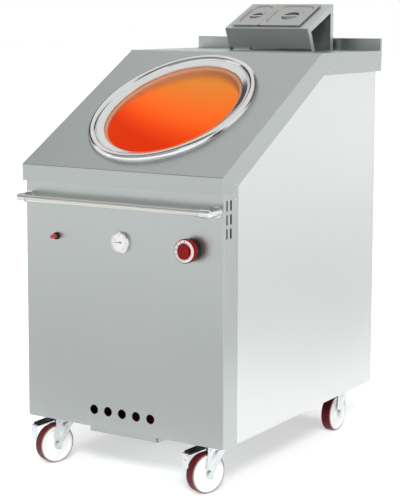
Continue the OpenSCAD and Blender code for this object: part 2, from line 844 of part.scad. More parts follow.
module gas_valve() at_front() color("goldenrod") control_at(knob_x) difference() {
    union() {
        translate([-valve_w / 2, valve_front, -valve_h / 2]) cube([valve_w, valve_l, valve_h]);
        rod_y(spindle_d / 2 + valve_neck, sheet, valve_front);
    }
    rod_y(spindle_d / 2 + run_gap, 0, spindle_in + seat_gap);
}

module valve_spindle() at_front() color("darkgray")
    control_at(knob_x) rod_y(spindle_d / 2, -spindle_tip, spindle_in);

module inlet_pipe() at_front() color("darkkhaki") {
    translate([knob_x, 0, inlet_z]) rod_y(inlet_d / 2, frame_back - inlet_in, body_d + inlet_reach);
    translate([knob_x, 0, inlet_z]) rod_y(inlet_nut_d / 2, body_d, body_d + inlet_nut_h);
    pipe_run([
        [knob_x, frame_back - inlet_in, inlet_z], [knob_x, feed_y, inlet_z],
        [knob_x, feed_y, control_z - valve_h / 2]], pipe_r);
}

module ignition_electrode() at_front() color("white") translate([-electrode_x, pot_y, 0]) {
    rod_z(electrode_r, bar_top, burner_top);
    rod_z(spark_r, burner_top, burner_top + spark_l);
}

module ignition_lead() at_front() color("firebrick") pipe_run([
    [-igniter_x, igniter_body_l, control_z], [-igniter_x, lead_y, control_z],
    [-igniter_x, lead_y, feed_z], [-electrode_x, lead_y, feed_z],
    [-electrode_x, pot_y - electrode_r, feed_z]], lead_r);

// Controls

igniter_body_l = 45;
igniter_lip = 1;
igniter_neck_r = igniter_d / 2 - igniter_lip;

module igniter_housing() at_front() color("black") control_at(-igniter_x) turned_to_front() difference() {
    polygon([
        [0, -igniter_body_l], [igniter_neck_r, -igniter_body_l], [igniter_neck_r, 0],
        [igniter_d / 2, 0], [igniter_d / 2, igniter_depth - button_edge],
        [igniter_d / 2 - button_edge, igniter_depth], [0, igniter_depth]
    ]);
    translate([-past, -button_in - button_travel - past])
        square([button_d / 2 + run_gap + past, igniter_depth + button_in + button_travel + 2 * past]);
}

module igniter_button() at_front() color("crimson") control_at(-igniter_x) turned_to_front() polygon([
    [0, -button_in], [button_d / 2, -button_in], [button_d / 2, button_face - button_edge],
    [button_d / 2 - button_edge, button_face], [0, button_face]
]);

needle_pin_r = 1;
pin_floor = 1;
needle_hub_r = 3;
needle_tail = 6;
needle_w = 2.4;
needle_tip_gap = 4;
needle_tip_l = 4;
bezel_edge = 2;

module thermometer_case() at_front() color("silver") control_at(0) difference() {
    union() {
        turned_to_front() polygon([
            [0, 0], [dial_d / 2, 0], [dial_d / 2, dial_depth - bezel_edge],
            [dial_d / 2 - bezel_edge, dial_depth],
            [dial_in_r, dial_depth], [dial_in_r, dial_floor], [0, dial_floor]
        ]);
        rod_y(probe_d / 2, 0, probe_tip);
    }
    rod_y(needle_pin_r + run_gap, -dial_floor - past, -pin_floor);
}

dial_t = 1;
glass_t = 1.5;
glass_in = 0.5;
glass_back = dial_depth - glass_in - glass_t;
needle_z = dial_floor + dial_t + seam;
needle_t = 0.6;
needle_tip = -dial_in_r + needle_tip_gap;

module thermometer_dial() at_front() color("white") control_at(0) turned_to_front()
    translate([needle_pin_r + loose_gap, dial_floor])
        square([dial_in_r - seat_gap - needle_pin_r - loose_gap, dial_t]);

module thermometer_needle() at_front() color("black") control_at(0) {
    rod_y(needle_pin_r, -needle_z - needle_t, -pin_floor - seam);
    rod_y(needle_hub_r, -needle_z - needle_t, -needle_z);
    rotate([90, 0, 0]) translate([0, 0, needle_z]) linear_extrude(needle_t) polygon([
        [needle_tail, -needle_w / 2], [needle_tail, needle_w / 2], [needle_tip + needle_tip_l, needle_w / 3],
        [needle_tip, 0], [needle_tip + needle_tip_l, -needle_w / 3]
    ]);
}

module thermometer_glass() at_front() color("lightblue")
    control_at(0) rod_y(dial_in_r - seat_gap, -glass_back - glass_t, -glass_back);

module knob_collar() at_front() color("black") control_at(knob_x) turned_to_front() polygon([
    [spindle_d / 2 + loose_gap, 0], [collar_d / 2, 0], [collar_d / 2, collar_depth - edge_r],
    [collar_d / 2 - edge_r, collar_depth], [spindle_d / 2 + loose_gap, collar_depth]
]);

scale_gap = 1.5;
scale_in = grip_d / 2 + scale_gap;
knob_back_edge = 1;
grip_flat = 4;
scale_t = 0.8;

module control_knob() at_front() color("darkred") control_at(knob_x) difference() {
    union() {
        turned_to_front() polygon([
            [0, knob_back], [knob_d / 2 - knob_back_edge, knob_back], [knob_d / 2, knob_back + edge_r],
            [knob_d / 2, knob_face - edge_r], [knob_d / 2 - edge_r, knob_face], [0, knob_face]
        ]);
        intersection() {
            turned_to_front() polygon([
                [0, knob_face - past], [grip_d / 2, knob_face - past],
                [grip_d / 2, knob_face + grip_h - edge_r],
                [grip_d / 2 - edge_r, knob_face + grip_h], [0, knob_face + grip_h]
            ]);
            translate([0, -knob_face, 0]) cube([grip_d - 2 * grip_flat, 4 * grip_h, 2 * grip_d], center = true);
        }
    }
    rod_y(spindle_d / 2 + run_gap, -spindle_tip - knob_push - bore_spare, -knob_back + past);
}

module knob_scale() at_front() color("white") control_at(knob_x) turned_to_front()
    translate([scale_in, knob_face]) square([scale_w, scale_t]);

// Crumb tray

// Tray: a floor sheet with a rim of four strips, spot-welded to it and to each other
module crumb_tray() at_front() color("silver") translate([0, tray_front, tray_z]) {
    translate([-tray_w / 2, 0, 0]) cube([tray_w, tray_d, tray_t]);
    translate([0, 0, tray_t + run_gap]) {
        both_sides() translate([tray_w / 2 - tray_t, 0, 0]) cube([tray_t, tray_d, tray_h - tray_t - run_gap]);
        for (y = [0, tray_d - tray_t]) {
            translate([-tray_w / 2 + tray_t + run_gap, y, 0])
                cube([tray_w - 2 * (tray_t + run_gap), tray_t, tray_h - tray_t - run_gap]);
        }
    }
}

// A profile drawn in X and Z, extruded from front to back
module along_y(y0, y1) translate([0, y1, 0]) rotate([90, 0, 0]) linear_extrude(y1 - y0) children();

module tray_runners() at_front() color("gray") both_sides() along_y(tray_front + runner_in, tray_front + tray_d)
    polygon([
        [runner_x - runner_lip, runner_z - runner_t], [runner_x + runner_t, runner_z - runner_t],
        [runner_x + runner_t, body_z - runner_t], [runner_x + runner_t + runner_foot, body_z - runner_t],
        [runner_x + runner_t + runner_foot, body_z], [runner_x, body_z],
        [runner_x, runner_z], [runner_x - runner_lip, runner_z]
    ]);

// Pan rack: its own frame has X across, Y up the sloped top and Z square to the top

module on_rack() translate([0, rack_front_y, rack_front_z]) rotate([rack_slope, 0, 0]) children();

module rounded(w, l, r) {
    square([w - 2 * r, l], center = true);
    square([w, l - 2 * r], center = true);
    for (x = [-1, 1], y = [-1, 1]) {
        translate([x * (w / 2 - r), y * (l / 2 - r)]) circle(r);
    }
}

rack_outline = [
    [rack_foot_y, rack_z], [rack_front_y, rack_front_z], [rack_back_y, rack_back_z], [rack_back_y, rack_z]
];
// The same outline drawn in by a margin: the foot, the front edge, the back edge and the back foot
function rack_inset(m) = [
    [rack_foot_y + m / cos(rack_slope), rack_z],
    [rack_front_y + m * (cos(rack_slope) + sin(rack_slope)),
        rack_front_z - m * (cos(rack_slope) - sin(rack_slope))],
    [rack_back_y - m, rack_back_z - m * (1 / cos(rack_slope) + tan(rack_slope))],
    [rack_back_y - m, rack_z]
];
module rack_band(m) polygon(concat(rack_outline, reversed(rack_inset(m))));
body_gap = 1;
rim_r = 5;

module pan_rack() at_front() color("silver") difference() {
    union() {
        across(rack_x - rack_w / 2, rack_x + rack_w / 2) rack_band(sheet);
        for (x = [rack_x - rack_w / 2, rack_x + rack_w / 2 - sheet]) {
            across(x, x + sheet) rack_band(rack_flange);
        }
    }
    translate([rack_x - rack_w / 2 + sheet, rack_front_y, rack_z - past])
        cube([rack_w - 2 * sheet, rack_back_y - rack_front_y + past, rack_relief + past]);
    on_rack() for (p = [[small_u, small_w], [large_u, large_w]]) {
        translate([p[0], pan_v + pan_l / 2, -3 * sheet]) linear_extrude(4 * sheet)
            rounded(p[1] - 2 * pan_rim + 2 * body_gap, pan_l - 2 * pan_rim + 2 * body_gap, pan_r);
    }
}

// Pan with its rim on the rack's top
module pan(u, w) at_front() on_rack() translate([u, pan_v + pan_l / 2, seat_gap]) difference() {
    union() {
        linear_extrude(rim_h) rounded(w - 2 * lid_over, pan_l - 2 * lid_over, rim_r);
        translate([0, 0, -pan_h]) linear_extrude(pan_h) rounded(w - 2 * pan_rim, pan_l - 2 * pan_rim, pan_r);
    }
    translate([0, 0, -pan_h + pan_t]) linear_extrude(pan_h + rim_h)
        rounded(w - 2 * pan_rim - 2 * pan_t, pan_l - 2 * pan_rim - 2 * pan_t, pan_r - pan_t);
}
module small_pan() color("silver") pan(small_u, small_w);
module large_pan() color("silver") pan(large_u, large_w);

strap_w = 12;
strap_t = 2;

// Lid with a round recess and a strap handle across it
module lid(u, w, cup_r) at_front() on_rack() translate([u, pan_v + pan_l / 2, 2 * seat_gap + rim_h]) {
    difference() {
        union() {
            linear_extrude(pan_t) rounded(w, pan_l, rim_r);
            rod_z(cup_r + pan_t, -recess_h, pan_t);
        }
        rod_z(cup_r, -recess_h + pan_t, pan_t + past);
    }
    translate([-cup_r - pan_t, -strap_w / 2, pan_t - strap_t]) cube([2 * (cup_r + pan_t), strap_w, strap_t]);
}
module small_lid() color("silver") lid(small_u, small_w, small_recess_d / 2);
module large_lid() color("silver") lid(large_u, large_w, large_recess_d / 2);

// Casters

module caster_plates() at_front() color("lightsteelblue") difference() {
    at_casters() {
        translate([-plate_w / 2, -plate_l / 2, plate_z]) cube([plate_w, plate_l, plate_t]);
        rod_z(race_r, plate_z - race_h, plate_z);
        rod_z(king_r, crown_z - king_head_h, plate_z);
        rod_z(king_r + king_lip, crown_z - king_head_h, crown_z - seat_gap);
    }
    at_plate_bolts() rod_z(bolt_d / 2 + seat_gap, plate_z - past, caster_h + past);
}

module caster_bolts() at_front() color("silver") at_plate_bolts() {
    rod_z(bolt_d / 2, plate_z - bolt_head_h, base_top);
    translate([0, 0, base_top]) cylinder(d = hex * bolt_d, h = bolt_head_h, $fn = 6);
    translate([0, 0, plate_z - bolt_head_h]) cylinder(d = hex * bolt_d, h = bolt_head_h, $fn = 6);
}

module at_caster(i) at_front()
    translate([casters[i][0], casters[i][1], 0]) rotate([0, 0, casters[i][2]]) children();
module at_axle() translate([0, -trail, wheel_r]) children();

crown_back = 30;
crown_ahead = 6;
crown_front = -trail - crown_ahead;
fork_taper = 8;

module fork(i) color("lightgray") at_caster(i) difference() {
    union() {
        translate([-fork_out, crown_front, crown_z]) cube([2 * fork_out, crown_back - crown_front, crown_t]);
        rod_z(race_r + king_disc, crown_z, crown_top);
        both_sides() across(fork_in, fork_out) {
            polygon([
                [crown_front, crown_top], [crown_front, pivot_z - fork_taper], [-trail - boss_r, wheel_r],
                [-trail + boss_r, wheel_r], [crown_back - fork_taper, pivot_z - fork_taper],
                [crown_back, crown_top]
            ]);
            translate([-trail, wheel_r]) circle(boss_r);
        }
    }
    rod_z(king_r + run_gap, crown_z - past, crown_top + past);
    at_axle() rod_x(axle_d / 2 + seat_gap, -fork_out - past, fork_out + past);
    if (i < 2) {
        translate([0, pivot_y, pivot_z]) rod_x(pivot_r + run_gap, -fork_out - past, fork_out + past);
    }
}
module front_left_fork() fork(0);
module front_right_fork() fork(1);
module rear_left_fork() fork(2);
module rear_right_fork() fork(3);

core_r = wheel_r - tyre_t;
hub_r = 16;
hub_gap = 0.5;
web_in = 4;
rim_in = 1;
rim_w = 5;
rim_edge = 3;
// Width across the corners of a hexagon head, in diameters of its bolt
hex = 1.75;
axle_head_h = 6;
tyre_gap = 0.05;
// Half widths of the hub, the web and the rim
hub_w = fork_in - hub_gap;
web_w = wheel_w / 2 - web_in;
core_w = wheel_w / 2 - rim_in;
tyre_edge = 4;
tyre_w = core_w - seat_gap;

module wheel_core(i) color("ivory") at_caster(i) at_axle() rotate([0, 90, 0]) rotate_extrude() polygon([
    [axle_d / 2 + run_gap, -hub_w], [hub_r, -hub_w], [hub_r, -web_w],
    [core_r - rim_w - rim_edge, -web_w], [core_r - rim_w, -core_w], [core_r, -core_w],
    [core_r, core_w], [core_r - rim_w, core_w], [core_r - rim_w - rim_edge, web_w],
    [hub_r, web_w], [hub_r, hub_w], [axle_d / 2 + run_gap, hub_w]
]);
module front_left_wheel() wheel_core(0);
module front_right_wheel() wheel_core(1);
module rear_left_wheel() wheel_core(2);
module rear_right_wheel() wheel_core(3);

module tyre(i) color("maroon") at_caster(i) at_axle() rotate([0, 90, 0]) rotate_extrude() polygon(concat(
    [[core_r + tyre_gap, tyre_w], [core_r + tyre_gap, -tyre_w]],
    arc([wheel_r - tyre_edge, -tyre_w + tyre_edge], tyre_edge, 270, 360),
    arc([wheel_r - tyre_edge, tyre_w - tyre_edge], tyre_edge, 0, 90)));
module front_left_tyre() tyre(0);
module front_right_tyre() tyre(1);
module rear_left_tyre() tyre(2);
module rear_right_tyre() tyre(3);

module axle(i) color("silver") at_caster(i) at_axle() {
    rod_x(axle_d / 2, -fork_out - axle_head_h - past, fork_out + axle_head_h + past);
    both_sides() translate([fork_out, 0, 0]) rotate([0, 90, 0])
        cylinder(d = hex * axle_d, h = axle_head_h, $fn = 6);
}
module front_left_axle() axle(0);
module front_right_axle() axle(1);
module rear_left_axle() axle(2);
module rear_right_axle() axle(3);

// Brake pedals

function lever_z(y) = lever_heel_z - lever_drop * (y - lever_heel) / (lever_tip - lever_heel);
hook_r = 4;
hook_in = 4;
tab_in = 2;
tab_r = pedal_w / 2 - tab_in;
tab_slot_w = 12;
tab_slot_h = 5;
tab_slot_drop = 18;

module brake_pedal(i) color("lightgray") at_caster(i) difference() {
    union() {
        translate([0, pivot_y, pivot_z]) rod_x(pivot_r, -fork_out - pivot_end, fork_out + pivot_end);
        translate([0, pivot_y, pivot_z]) rod_x(pivot_hub_r, -pedal_w / 2, pedal_w / 2);
        across(-pedal_w / 2, pedal_w / 2) polygon([
            [pivot_y, pivot_z - lever_t], [lever_heel, lever_heel_z - 2 * lever_t],
            [lever_tip, lever_tip_z - lever_t], [lever_tip, lever_tip_z],
            [lever_heel, lever_heel_z], [pivot_y, pivot_z + lever_t]
        ]);
        translate([0, lever_tip, lever_tip_z]) rod_x(hook_r, -pedal_w / 2 + hook_in, pedal_w / 2 - hook_in);
        translate([0, lever_tip, 0]) rotate([90, 0, 0]) linear_extrude(lever_t) {
            translate([-tab_r, lever_tip_z - tab_l + tab_r]) square([2 * tab_r, tab_l - tab_r]);
            translate([0, lever_tip_z - tab_l + tab_r]) circle(tab_r);
        }
    }
    translate([-tab_slot_w / 2, lever_tip - lever_t - past, lever_tip_z - tab_slot_drop])
        cube([tab_slot_w, lever_t + 2 * past, tab_slot_h]);
}
module left_brake_pedal() brake_pedal(0);
module right_brake_pedal() brake_pedal(1);

hook_gap = 3;
pad_end = 2;
pad_front = lever_tip + hook_r + hook_gap;
pad_back = lever_heel - pad_end;
pad_ribs = 5;
pad_edge = 3;
pad_over = 2;
pad_groove_w = 2.5;
pad_groove_h = 1.2;

module pedal_pad(i) color("black") at_caster(i) difference() {
    across(-pedal_w / 2 - pad_over, pedal_w / 2 + pad_over) polygon([
        [pad_front, lever_z(pad_front) + tyre_gap], [pad_back, lever_z(pad_back) + tyre_gap],
        [pad_back, lever_z(pad_back) + pad_t], [pad_front + pad_edge, lever_z(pad_front) + pad_t],
        [pad_front, lever_z(pad_front) + pad_t - pad_edge]
    ]);
    for (k = [1:pad_ribs]) {
        y = pad_front + k * (pad_back - pad_front) / (pad_ribs + 1);
        translate([-pedal_w, y, lever_z(y) + pad_t - pad_groove_h]) cube([2 * pedal_w, pad_groove_w, pad_t]);
    }
}
module left_pedal_pad() pedal_pad(0);
module right_pedal_pad() pedal_pad(1);

front_panel();
left_side_panel();
right_side_panel();
rear_panel();
base_plate();
chassis_frame();
top_cover();
panel_screws();
towel_rail();
rail_brackets();
mouth_ring();
clay_pot();
insulation_jacket();
pot_drum();
pot_stand();
burner();
burner_pipe();
gas_valve();
valve_spindle();
inlet_pipe();
ignition_electrode();
ignition_lead();
igniter_housing();
igniter_button();
thermometer_case();
thermometer_dial();
thermometer_needle();
thermometer_glass();
knob_collar();
control_knob();
knob_scale();
crumb_tray();
tray_runners();
pan_rack();
small_pan();
large_pan();
small_lid();
large_lid();
caster_plates();
caster_bolts();
front_left_fork();
front_right_fork();
rear_left_fork();
rear_right_fork();
front_left_wheel();
front_right_wheel();
rear_left_wheel();
rear_right_wheel();
front_left_tyre();
front_right_tyre();
rear_left_tyre();
rear_right_tyre();
front_left_axle();
front_right_axle();
rear_left_axle();
rear_right_axle();
left_brake_pedal();
right_brake_pedal();
left_pedal_pad();
right_pedal_pad();
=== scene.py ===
"""Looks of the gas tandoor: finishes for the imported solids, and finer surfaces where the eye rests."""
import math

import bmesh
import bpy
import numpy as np
from mathutils import Matrix, Vector


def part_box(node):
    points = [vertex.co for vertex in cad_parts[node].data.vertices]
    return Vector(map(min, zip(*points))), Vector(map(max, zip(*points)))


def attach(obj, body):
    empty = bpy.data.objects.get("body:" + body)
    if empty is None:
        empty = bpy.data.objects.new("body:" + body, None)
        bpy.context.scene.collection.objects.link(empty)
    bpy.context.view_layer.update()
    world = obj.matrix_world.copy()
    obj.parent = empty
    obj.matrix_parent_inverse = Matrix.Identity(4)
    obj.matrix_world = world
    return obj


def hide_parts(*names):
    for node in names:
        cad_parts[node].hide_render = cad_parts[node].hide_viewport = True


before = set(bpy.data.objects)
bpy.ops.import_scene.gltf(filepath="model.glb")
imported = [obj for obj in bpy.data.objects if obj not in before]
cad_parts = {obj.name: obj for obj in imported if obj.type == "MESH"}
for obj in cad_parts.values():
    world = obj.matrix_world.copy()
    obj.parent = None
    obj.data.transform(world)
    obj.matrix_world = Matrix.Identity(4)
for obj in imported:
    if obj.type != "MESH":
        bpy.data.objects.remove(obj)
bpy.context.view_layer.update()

MM = 0.001
scene = bpy.context.scene

# Sizes of the part, in metres
SHELF_Z = 1315 * MM
SLOPE_FRONT_Z = 971 * MM
MOUTH_R = 207 * MM
POT_WALL = 28 * MM
BELLY_R = 225 * MM
RIM_SHOW = 11 * MM
BAND_W = 24 * MM
BEAD_W = 30 * MM
BEAD_H = 20 * MM
RACK_SLOPE = math.radians(24)
PAN_L = 176 * MM
PAN_T = 1 * MM
FRONT_TURN = math.radians(-20)

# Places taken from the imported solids
front_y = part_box("front_panel")[0].y
cover_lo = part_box("top_cover")[0]
pot_lo, pot_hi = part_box("clay_pot")
pot_y = (pot_lo.y + pot_hi.y) / 2
break_y = 2 * pot_y - cover_lo.y
slope_a = math.atan2(SHELF_Z - SLOPE_FRONT_Z, break_y - cover_lo.y)
X = np.array((1.0, 0.0, 0.0))
Y = np.array((0.0, 1.0, 0.0))
Z = np.array((0.0, 0.0, 1.0))
FRONT = -Y
UP_SLOPE = np.array((0.0, math.cos(slope_a), math.sin(slope_a)))
OFF_SLOPE = np.array((0.0, -math.sin(slope_a), math.cos(slope_a)))
UP_RACK = np.array((0.0, math.cos(RACK_SLOPE), math.sin(RACK_SLOPE)))
OFF_RACK = np.array((0.0, -math.sin(RACK_SLOPE), math.cos(RACK_SLOPE)))


def slope_z(y):
    """Height of the cover's slope: its front edge plus the run behind that edge times the tangent of the slope."""
    return SLOPE_FRONT_Z + (y - cover_lo.y) * math.tan(slope_a)


mouth = np.array((0.0, pot_y, slope_z(pot_y)))


def middle(node):
    """Middle of a node's box."""
    lo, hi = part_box(node)
    return (np.array(lo) + np.array(hi)) / 2


# Materials

# Most of a noise lies between these two values
NOISE_LOW, NOISE_HIGH = 0.25, 0.75
# Real scratches are 0.1 mm wide; they are drawn wider so that they show, and are this many widths long
SCRATCH = 1.6 * MM
STREAK = 120
SIDE_BY_SIDE_X = (1, STREAK, STREAK)
SIDE_BY_SIDE_Y = (STREAK, 1, STREAK)


def linear(colour):
    """sRGB hex to linear RGBA: each channel c becomes ((c + 0.055) / 1.055) ** 2.4, or c / 12.92 near black."""
    c = np.array([int(colour[i:i + 2], 16) for i in (1, 3, 5)]) / 255
    c = np.where(c <= 0.04045, c / 12.92, ((c + 0.055) / 1.055) ** 2.4)
    return (*map(float, c), 1.0)


def add(tree, kind, inputs=(), **settings):
    """Adds a node: settings are its properties, inputs its values or the sockets that feed it."""
    made = tree.nodes.new(kind)
    for key, value in settings.items():
        setattr(made, key, value)
    for key, value in dict(inputs).items():
        if isinstance(value, bpy.types.NodeSocket):
            tree.links.new(value, made.inputs[key])
        else:
            made.inputs[key].default_value = value
    return made


def start(name, **sockets):
    """A new material with a Principled shader, whose constants are set on its own sockets."""
    made = bpy.data.materials.new(name)
    made.use_nodes = True
    tree = made.node_tree
    shader = tree.nodes["Principled BSDF"]
    for key, value in sockets.items():
        shader.inputs[key.replace("_", " ")].default_value = value
    return made, tree, shader, add(tree, "ShaderNodeTexCoord").outputs["Object"]


def dressed(name, light, dark, size, grain=(1, 1, 1), rough=(0.4, 0.5), bump=0.0, bump_mm=0.1, cloud=None, **sockets):
    """A surface whose colour, roughness and bump follow one noise. size is the grain's width in metres, and grain
    stretches it along X, Y and Z. cloud adds a second, broad noise of that width to the colour and the roughness."""
    made, tree, shader, place = start(name, **sockets)
    scale = tuple(1 / (size * g) for g in grain)
    laid = add(tree, "ShaderNodeMapping", {"Vector": place, "Scale": scale})
    fine = add(tree, "ShaderNodeTexNoise", {"Vector": laid.outputs["Vector"], "Scale": 1.0, "Detail": 3.0})
    drive = fine.outputs["Fac"]
    if cloud:
        broad = add(tree, "ShaderNodeTexNoise", {"Vector": place, "Scale": 1 / cloud, "Detail": 2.0})
        drive = add(tree, "ShaderNodeMix", {0: 0.5, 2: drive, 3: broad.outputs["Fac"]}).outputs[0]
    reach = {"Value": drive, "From Min": NOISE_LOW, "From Max": NOISE_HIGH}
    spread = add(tree, "ShaderNodeMapRange", reach)
    tone = add(tree, "ShaderNodeMix", {0: spread.outputs[0], 6: linear(dark), 7: linear(light)}, data_type="RGBA")
    sheen = add(tree, "ShaderNodeMapRange", {**reach, "To Min": rough[0], "To Max": rough[1]})
    tree.links.new(tone.outputs[2], shader.inputs["Base Color"])
    tree.links.new(sheen.outputs[0], shader.inputs["Roughness"])
    if bump:
        lifted = add(tree, "ShaderNodeBump",
                     {"Strength": bump, "Distance": bump_mm * MM, "Height": fine.outputs["Fac"]})
        tree.links.new(lifted.outputs["Normal"], shader.inputs["Normal"])
    return made


# Stainless sheet, ground with a belt: long scratches one way give a soft streaked sheen.
satin = dressed("satin_brushed_stainless", "#bbc0bf", "#b2b8b7", SCRATCH, SIDE_BY_SIDE_X, (0.32, 0.42),
                bump=0.05, bump_mm=0.05, cloud=0.30, Metallic=1.0)
# The front sheet is the cover's steel painted a shade lighter, a painted light step that lets the cover's skirt show
# against it.
front_sheet_painted_lighter = dressed("satin_front_stainless", "#c1c6c5", "#b8bebd", SCRATCH, SIDE_BY_SIDE_X, (0.32, 0.42),
                      bump=0.05, bump_mm=0.05, cloud=0.30, Metallic=1.0)
# The side sheets have a grind that runs up and down, and their colour is painted brighter than the cover's, a painted
# reflection of bright surroundings.
side_sheet_painted_bright = dressed("fine_ground_stainless_painted_bright", "#e1e2e2", "#dbdddd", SCRATCH, SIDE_BY_SIDE_Y, (0.34, 0.44),
                       bump=0.04, bump_mm=0.05, cloud=0.40, Metallic=1.0)
# Polished and buffed stainless: nearly a mirror, softened by faint buffing swirls.
polished = dressed("polished_stainless", "#e8e8e7", "#e0e0df", 7 * MM, rough=(0.12, 0.18), cloud=0.06, Metallic=1.0)
# Rail tube: ground round and lightly polished, pale with a soft highlight.
rail_steel = dressed("ground_stainless_tube", "#e9e8e4", "#dfded9", 2.5 * MM, (40, 1, 1), (0.36, 0.44),
                     bump=0.03, bump_mm=0.05, Metallic=1.0)
# Its cast brackets are tumbled bright, nearly white.
bracket_steel = dressed("tumbled_cast_stainless", "#f2f2f0", "#e8e8e6", 3 * MM, rough=(0.26, 0.34),
                        bump=0.03, bump_mm=0.05, Metallic=1.0)
# Pressed stainless of pans and lids: drawn sheet with a dull, slightly mottled sheen.
pan_sheet = dressed("drawn_stainless", "#b2b3b0", "#a7a8a5", 4 * MM, (1, 4, 4), (0.26, 0.36),
                    bump=0.04, bump_mm=0.05, cloud=0.05, Metallic=0.8)
# Sheet of the pan rack: as the cabinet's, but handled and dulled, so that it scatters a little light.
rack_sheet = dressed("dulled_stainless", "#c2c7c6", "#b9bfbe", SCRATCH, SIDE_BY_SIDE_X, (0.36, 0.46),
                     bump=0.05, bump_mm=0.05, cloud=0.30, Metallic=0.85)
# Hot-rolled angle iron and plate under a thin grey primer.
primer = dressed("primed_mild_steel", "#6d7072", "#5c5f61", 9 * MM, rough=(0.5, 0.65),
                 bump=0.15, bump_mm=0.2, cloud=0.12, Metallic=0.6)
# Zinc plate, passivated: cool grey with a soft mottle.
zinc = dressed("zinc_plated_steel", "#e2e5e6", "#d2d7d9", 6 * MM, rough=(0.28, 0.42),
               bump=0.06, bump_mm=0.08, cloud=0.03, Metallic=1.0)
# Mineral wool: matt, fluffy, pale straw.
wool = dressed("mineral_wool", "#d8cda6", "#b5a87c", 6 * MM, (1, 1, 4), (0.9, 1.0), bump=0.6, bump_mm=1.5)
# Grey cast iron of the burner: dark, sandy skin.
iron = dressed("grey_cast_iron", "#4a4745", "#343130", 2.5 * MM, rough=(0.6, 0.8),
               bump=0.4, bump_mm=0.4, Metallic=0.7)
# Hot-forged brass, tumbled: a warm yellow with a satin sheen.
brass = dressed("forged_brass", "#c9a552", "#a98438", 5 * MM, rough=(0.3, 0.45), bump=0.1, Metallic=1.0)
# Glazed porcelain of the electrode: cream, with a wet gloss.
porcelain = dressed("glazed_porcelain", "#f0ece2", "#e4ded0", 10 * MM, rough=(0.1, 0.2))
# Silicone-rubber lead: brick red and matt.
lead_rubber = dressed("silicone_rubber", "#8e2a22", "#7a211b", 3 * MM, rough=(0.5, 0.6), bump=0.1)
# Moulded black nylon and phenolic: fine spark-eroded grain, drawn 0.8 mm wide.
black_plastic = dressed("moulded_black_nylon", "#141415", "#0c0c0d", 0.8 * MM, rough=(0.2, 0.3),
                        bump=0.08, bump_mm=0.06, Specular_IOR_Level=0.25)
# Red phenolic of the knob: deep colour under a soft gloss.
red_plastic = dressed("moulded_red_phenolic", "#8f0710", "#76040b", 6 * MM, rough=(0.24, 0.34),
                      bump=0.03, bump_mm=0.04, Specular_IOR_Level=0.2)
# Red button of the igniter: a lighter moulding.
red_button = dressed("moulded_red_acetal", "#c4383a", "#b52d30", 6 * MM, rough=(0.3, 0.4), bump=0.03, bump_mm=0.04)
# Printed white foil on the knob and white enamel of the dial.
scale_white = dressed("white_printed_foil", "#e9e3e2", "#dfd8d7", 5 * MM, rough=(0.35, 0.45))
dial_white = dressed("white_dial_enamel", "#f3f3f1", "#ebebe9", 12 * MM, rough=(0.3, 0.4))
# Black paint of the needle and of the knob's marks.
dial_black = dressed("black_dial_paint", "#3a3a3c", "#2b2b2d", 3 * MM)
# Grey ink of the thermometer's marks and numbers: thin, so the enamel lightens it.
dial_ink = dressed("grey_dial_ink", "#808082", "#707072", 3 * MM)
# Cast polyamide wheel core: waxy white with faint flow marks.
nylon = dressed("cast_white_polyamide", "#f7f7f5", "#f0f0ed", 20 * MM, rough=(0.35, 0.48),
                bump=0.05, Subsurface_Weight=0.05)
# Polyurethane tyre: dark wine red, slightly dusty.
tyre_red = dressed("polyurethane_tyre", "#6f1620", "#5b1019", 4 * MM, rough=(0.4, 0.55),
                   bump=0.15, bump_mm=0.15, Specular_IOR_Level=0.25)
# Its side walls are a grey brown: the piece's own attribute tells the wall from the tread.
tyre_tree = tyre_red.node_tree
tyre_base = tyre_tree.nodes["Principled BSDF"].inputs["Base Color"]
wall = add(tyre_tree, "ShaderNodeAttribute", attribute_name="side_wall").outputs["Fac"]
grey_walls = add(tyre_tree, "ShaderNodeMix", {0: wall, 6: tyre_base.links[0].from_socket, 7: linear("#93817f")},
              data_type="RGBA").outputs[2]
tyre_tree.links.new(grey_walls, tyre_base)

# Dial glass: clear, seen by its reflections alone.
glass = start("dial_glass", Roughness=0.03, IOR=1.5, Alpha=0.10, Base_Color=(1, 1, 1, 1))[0]


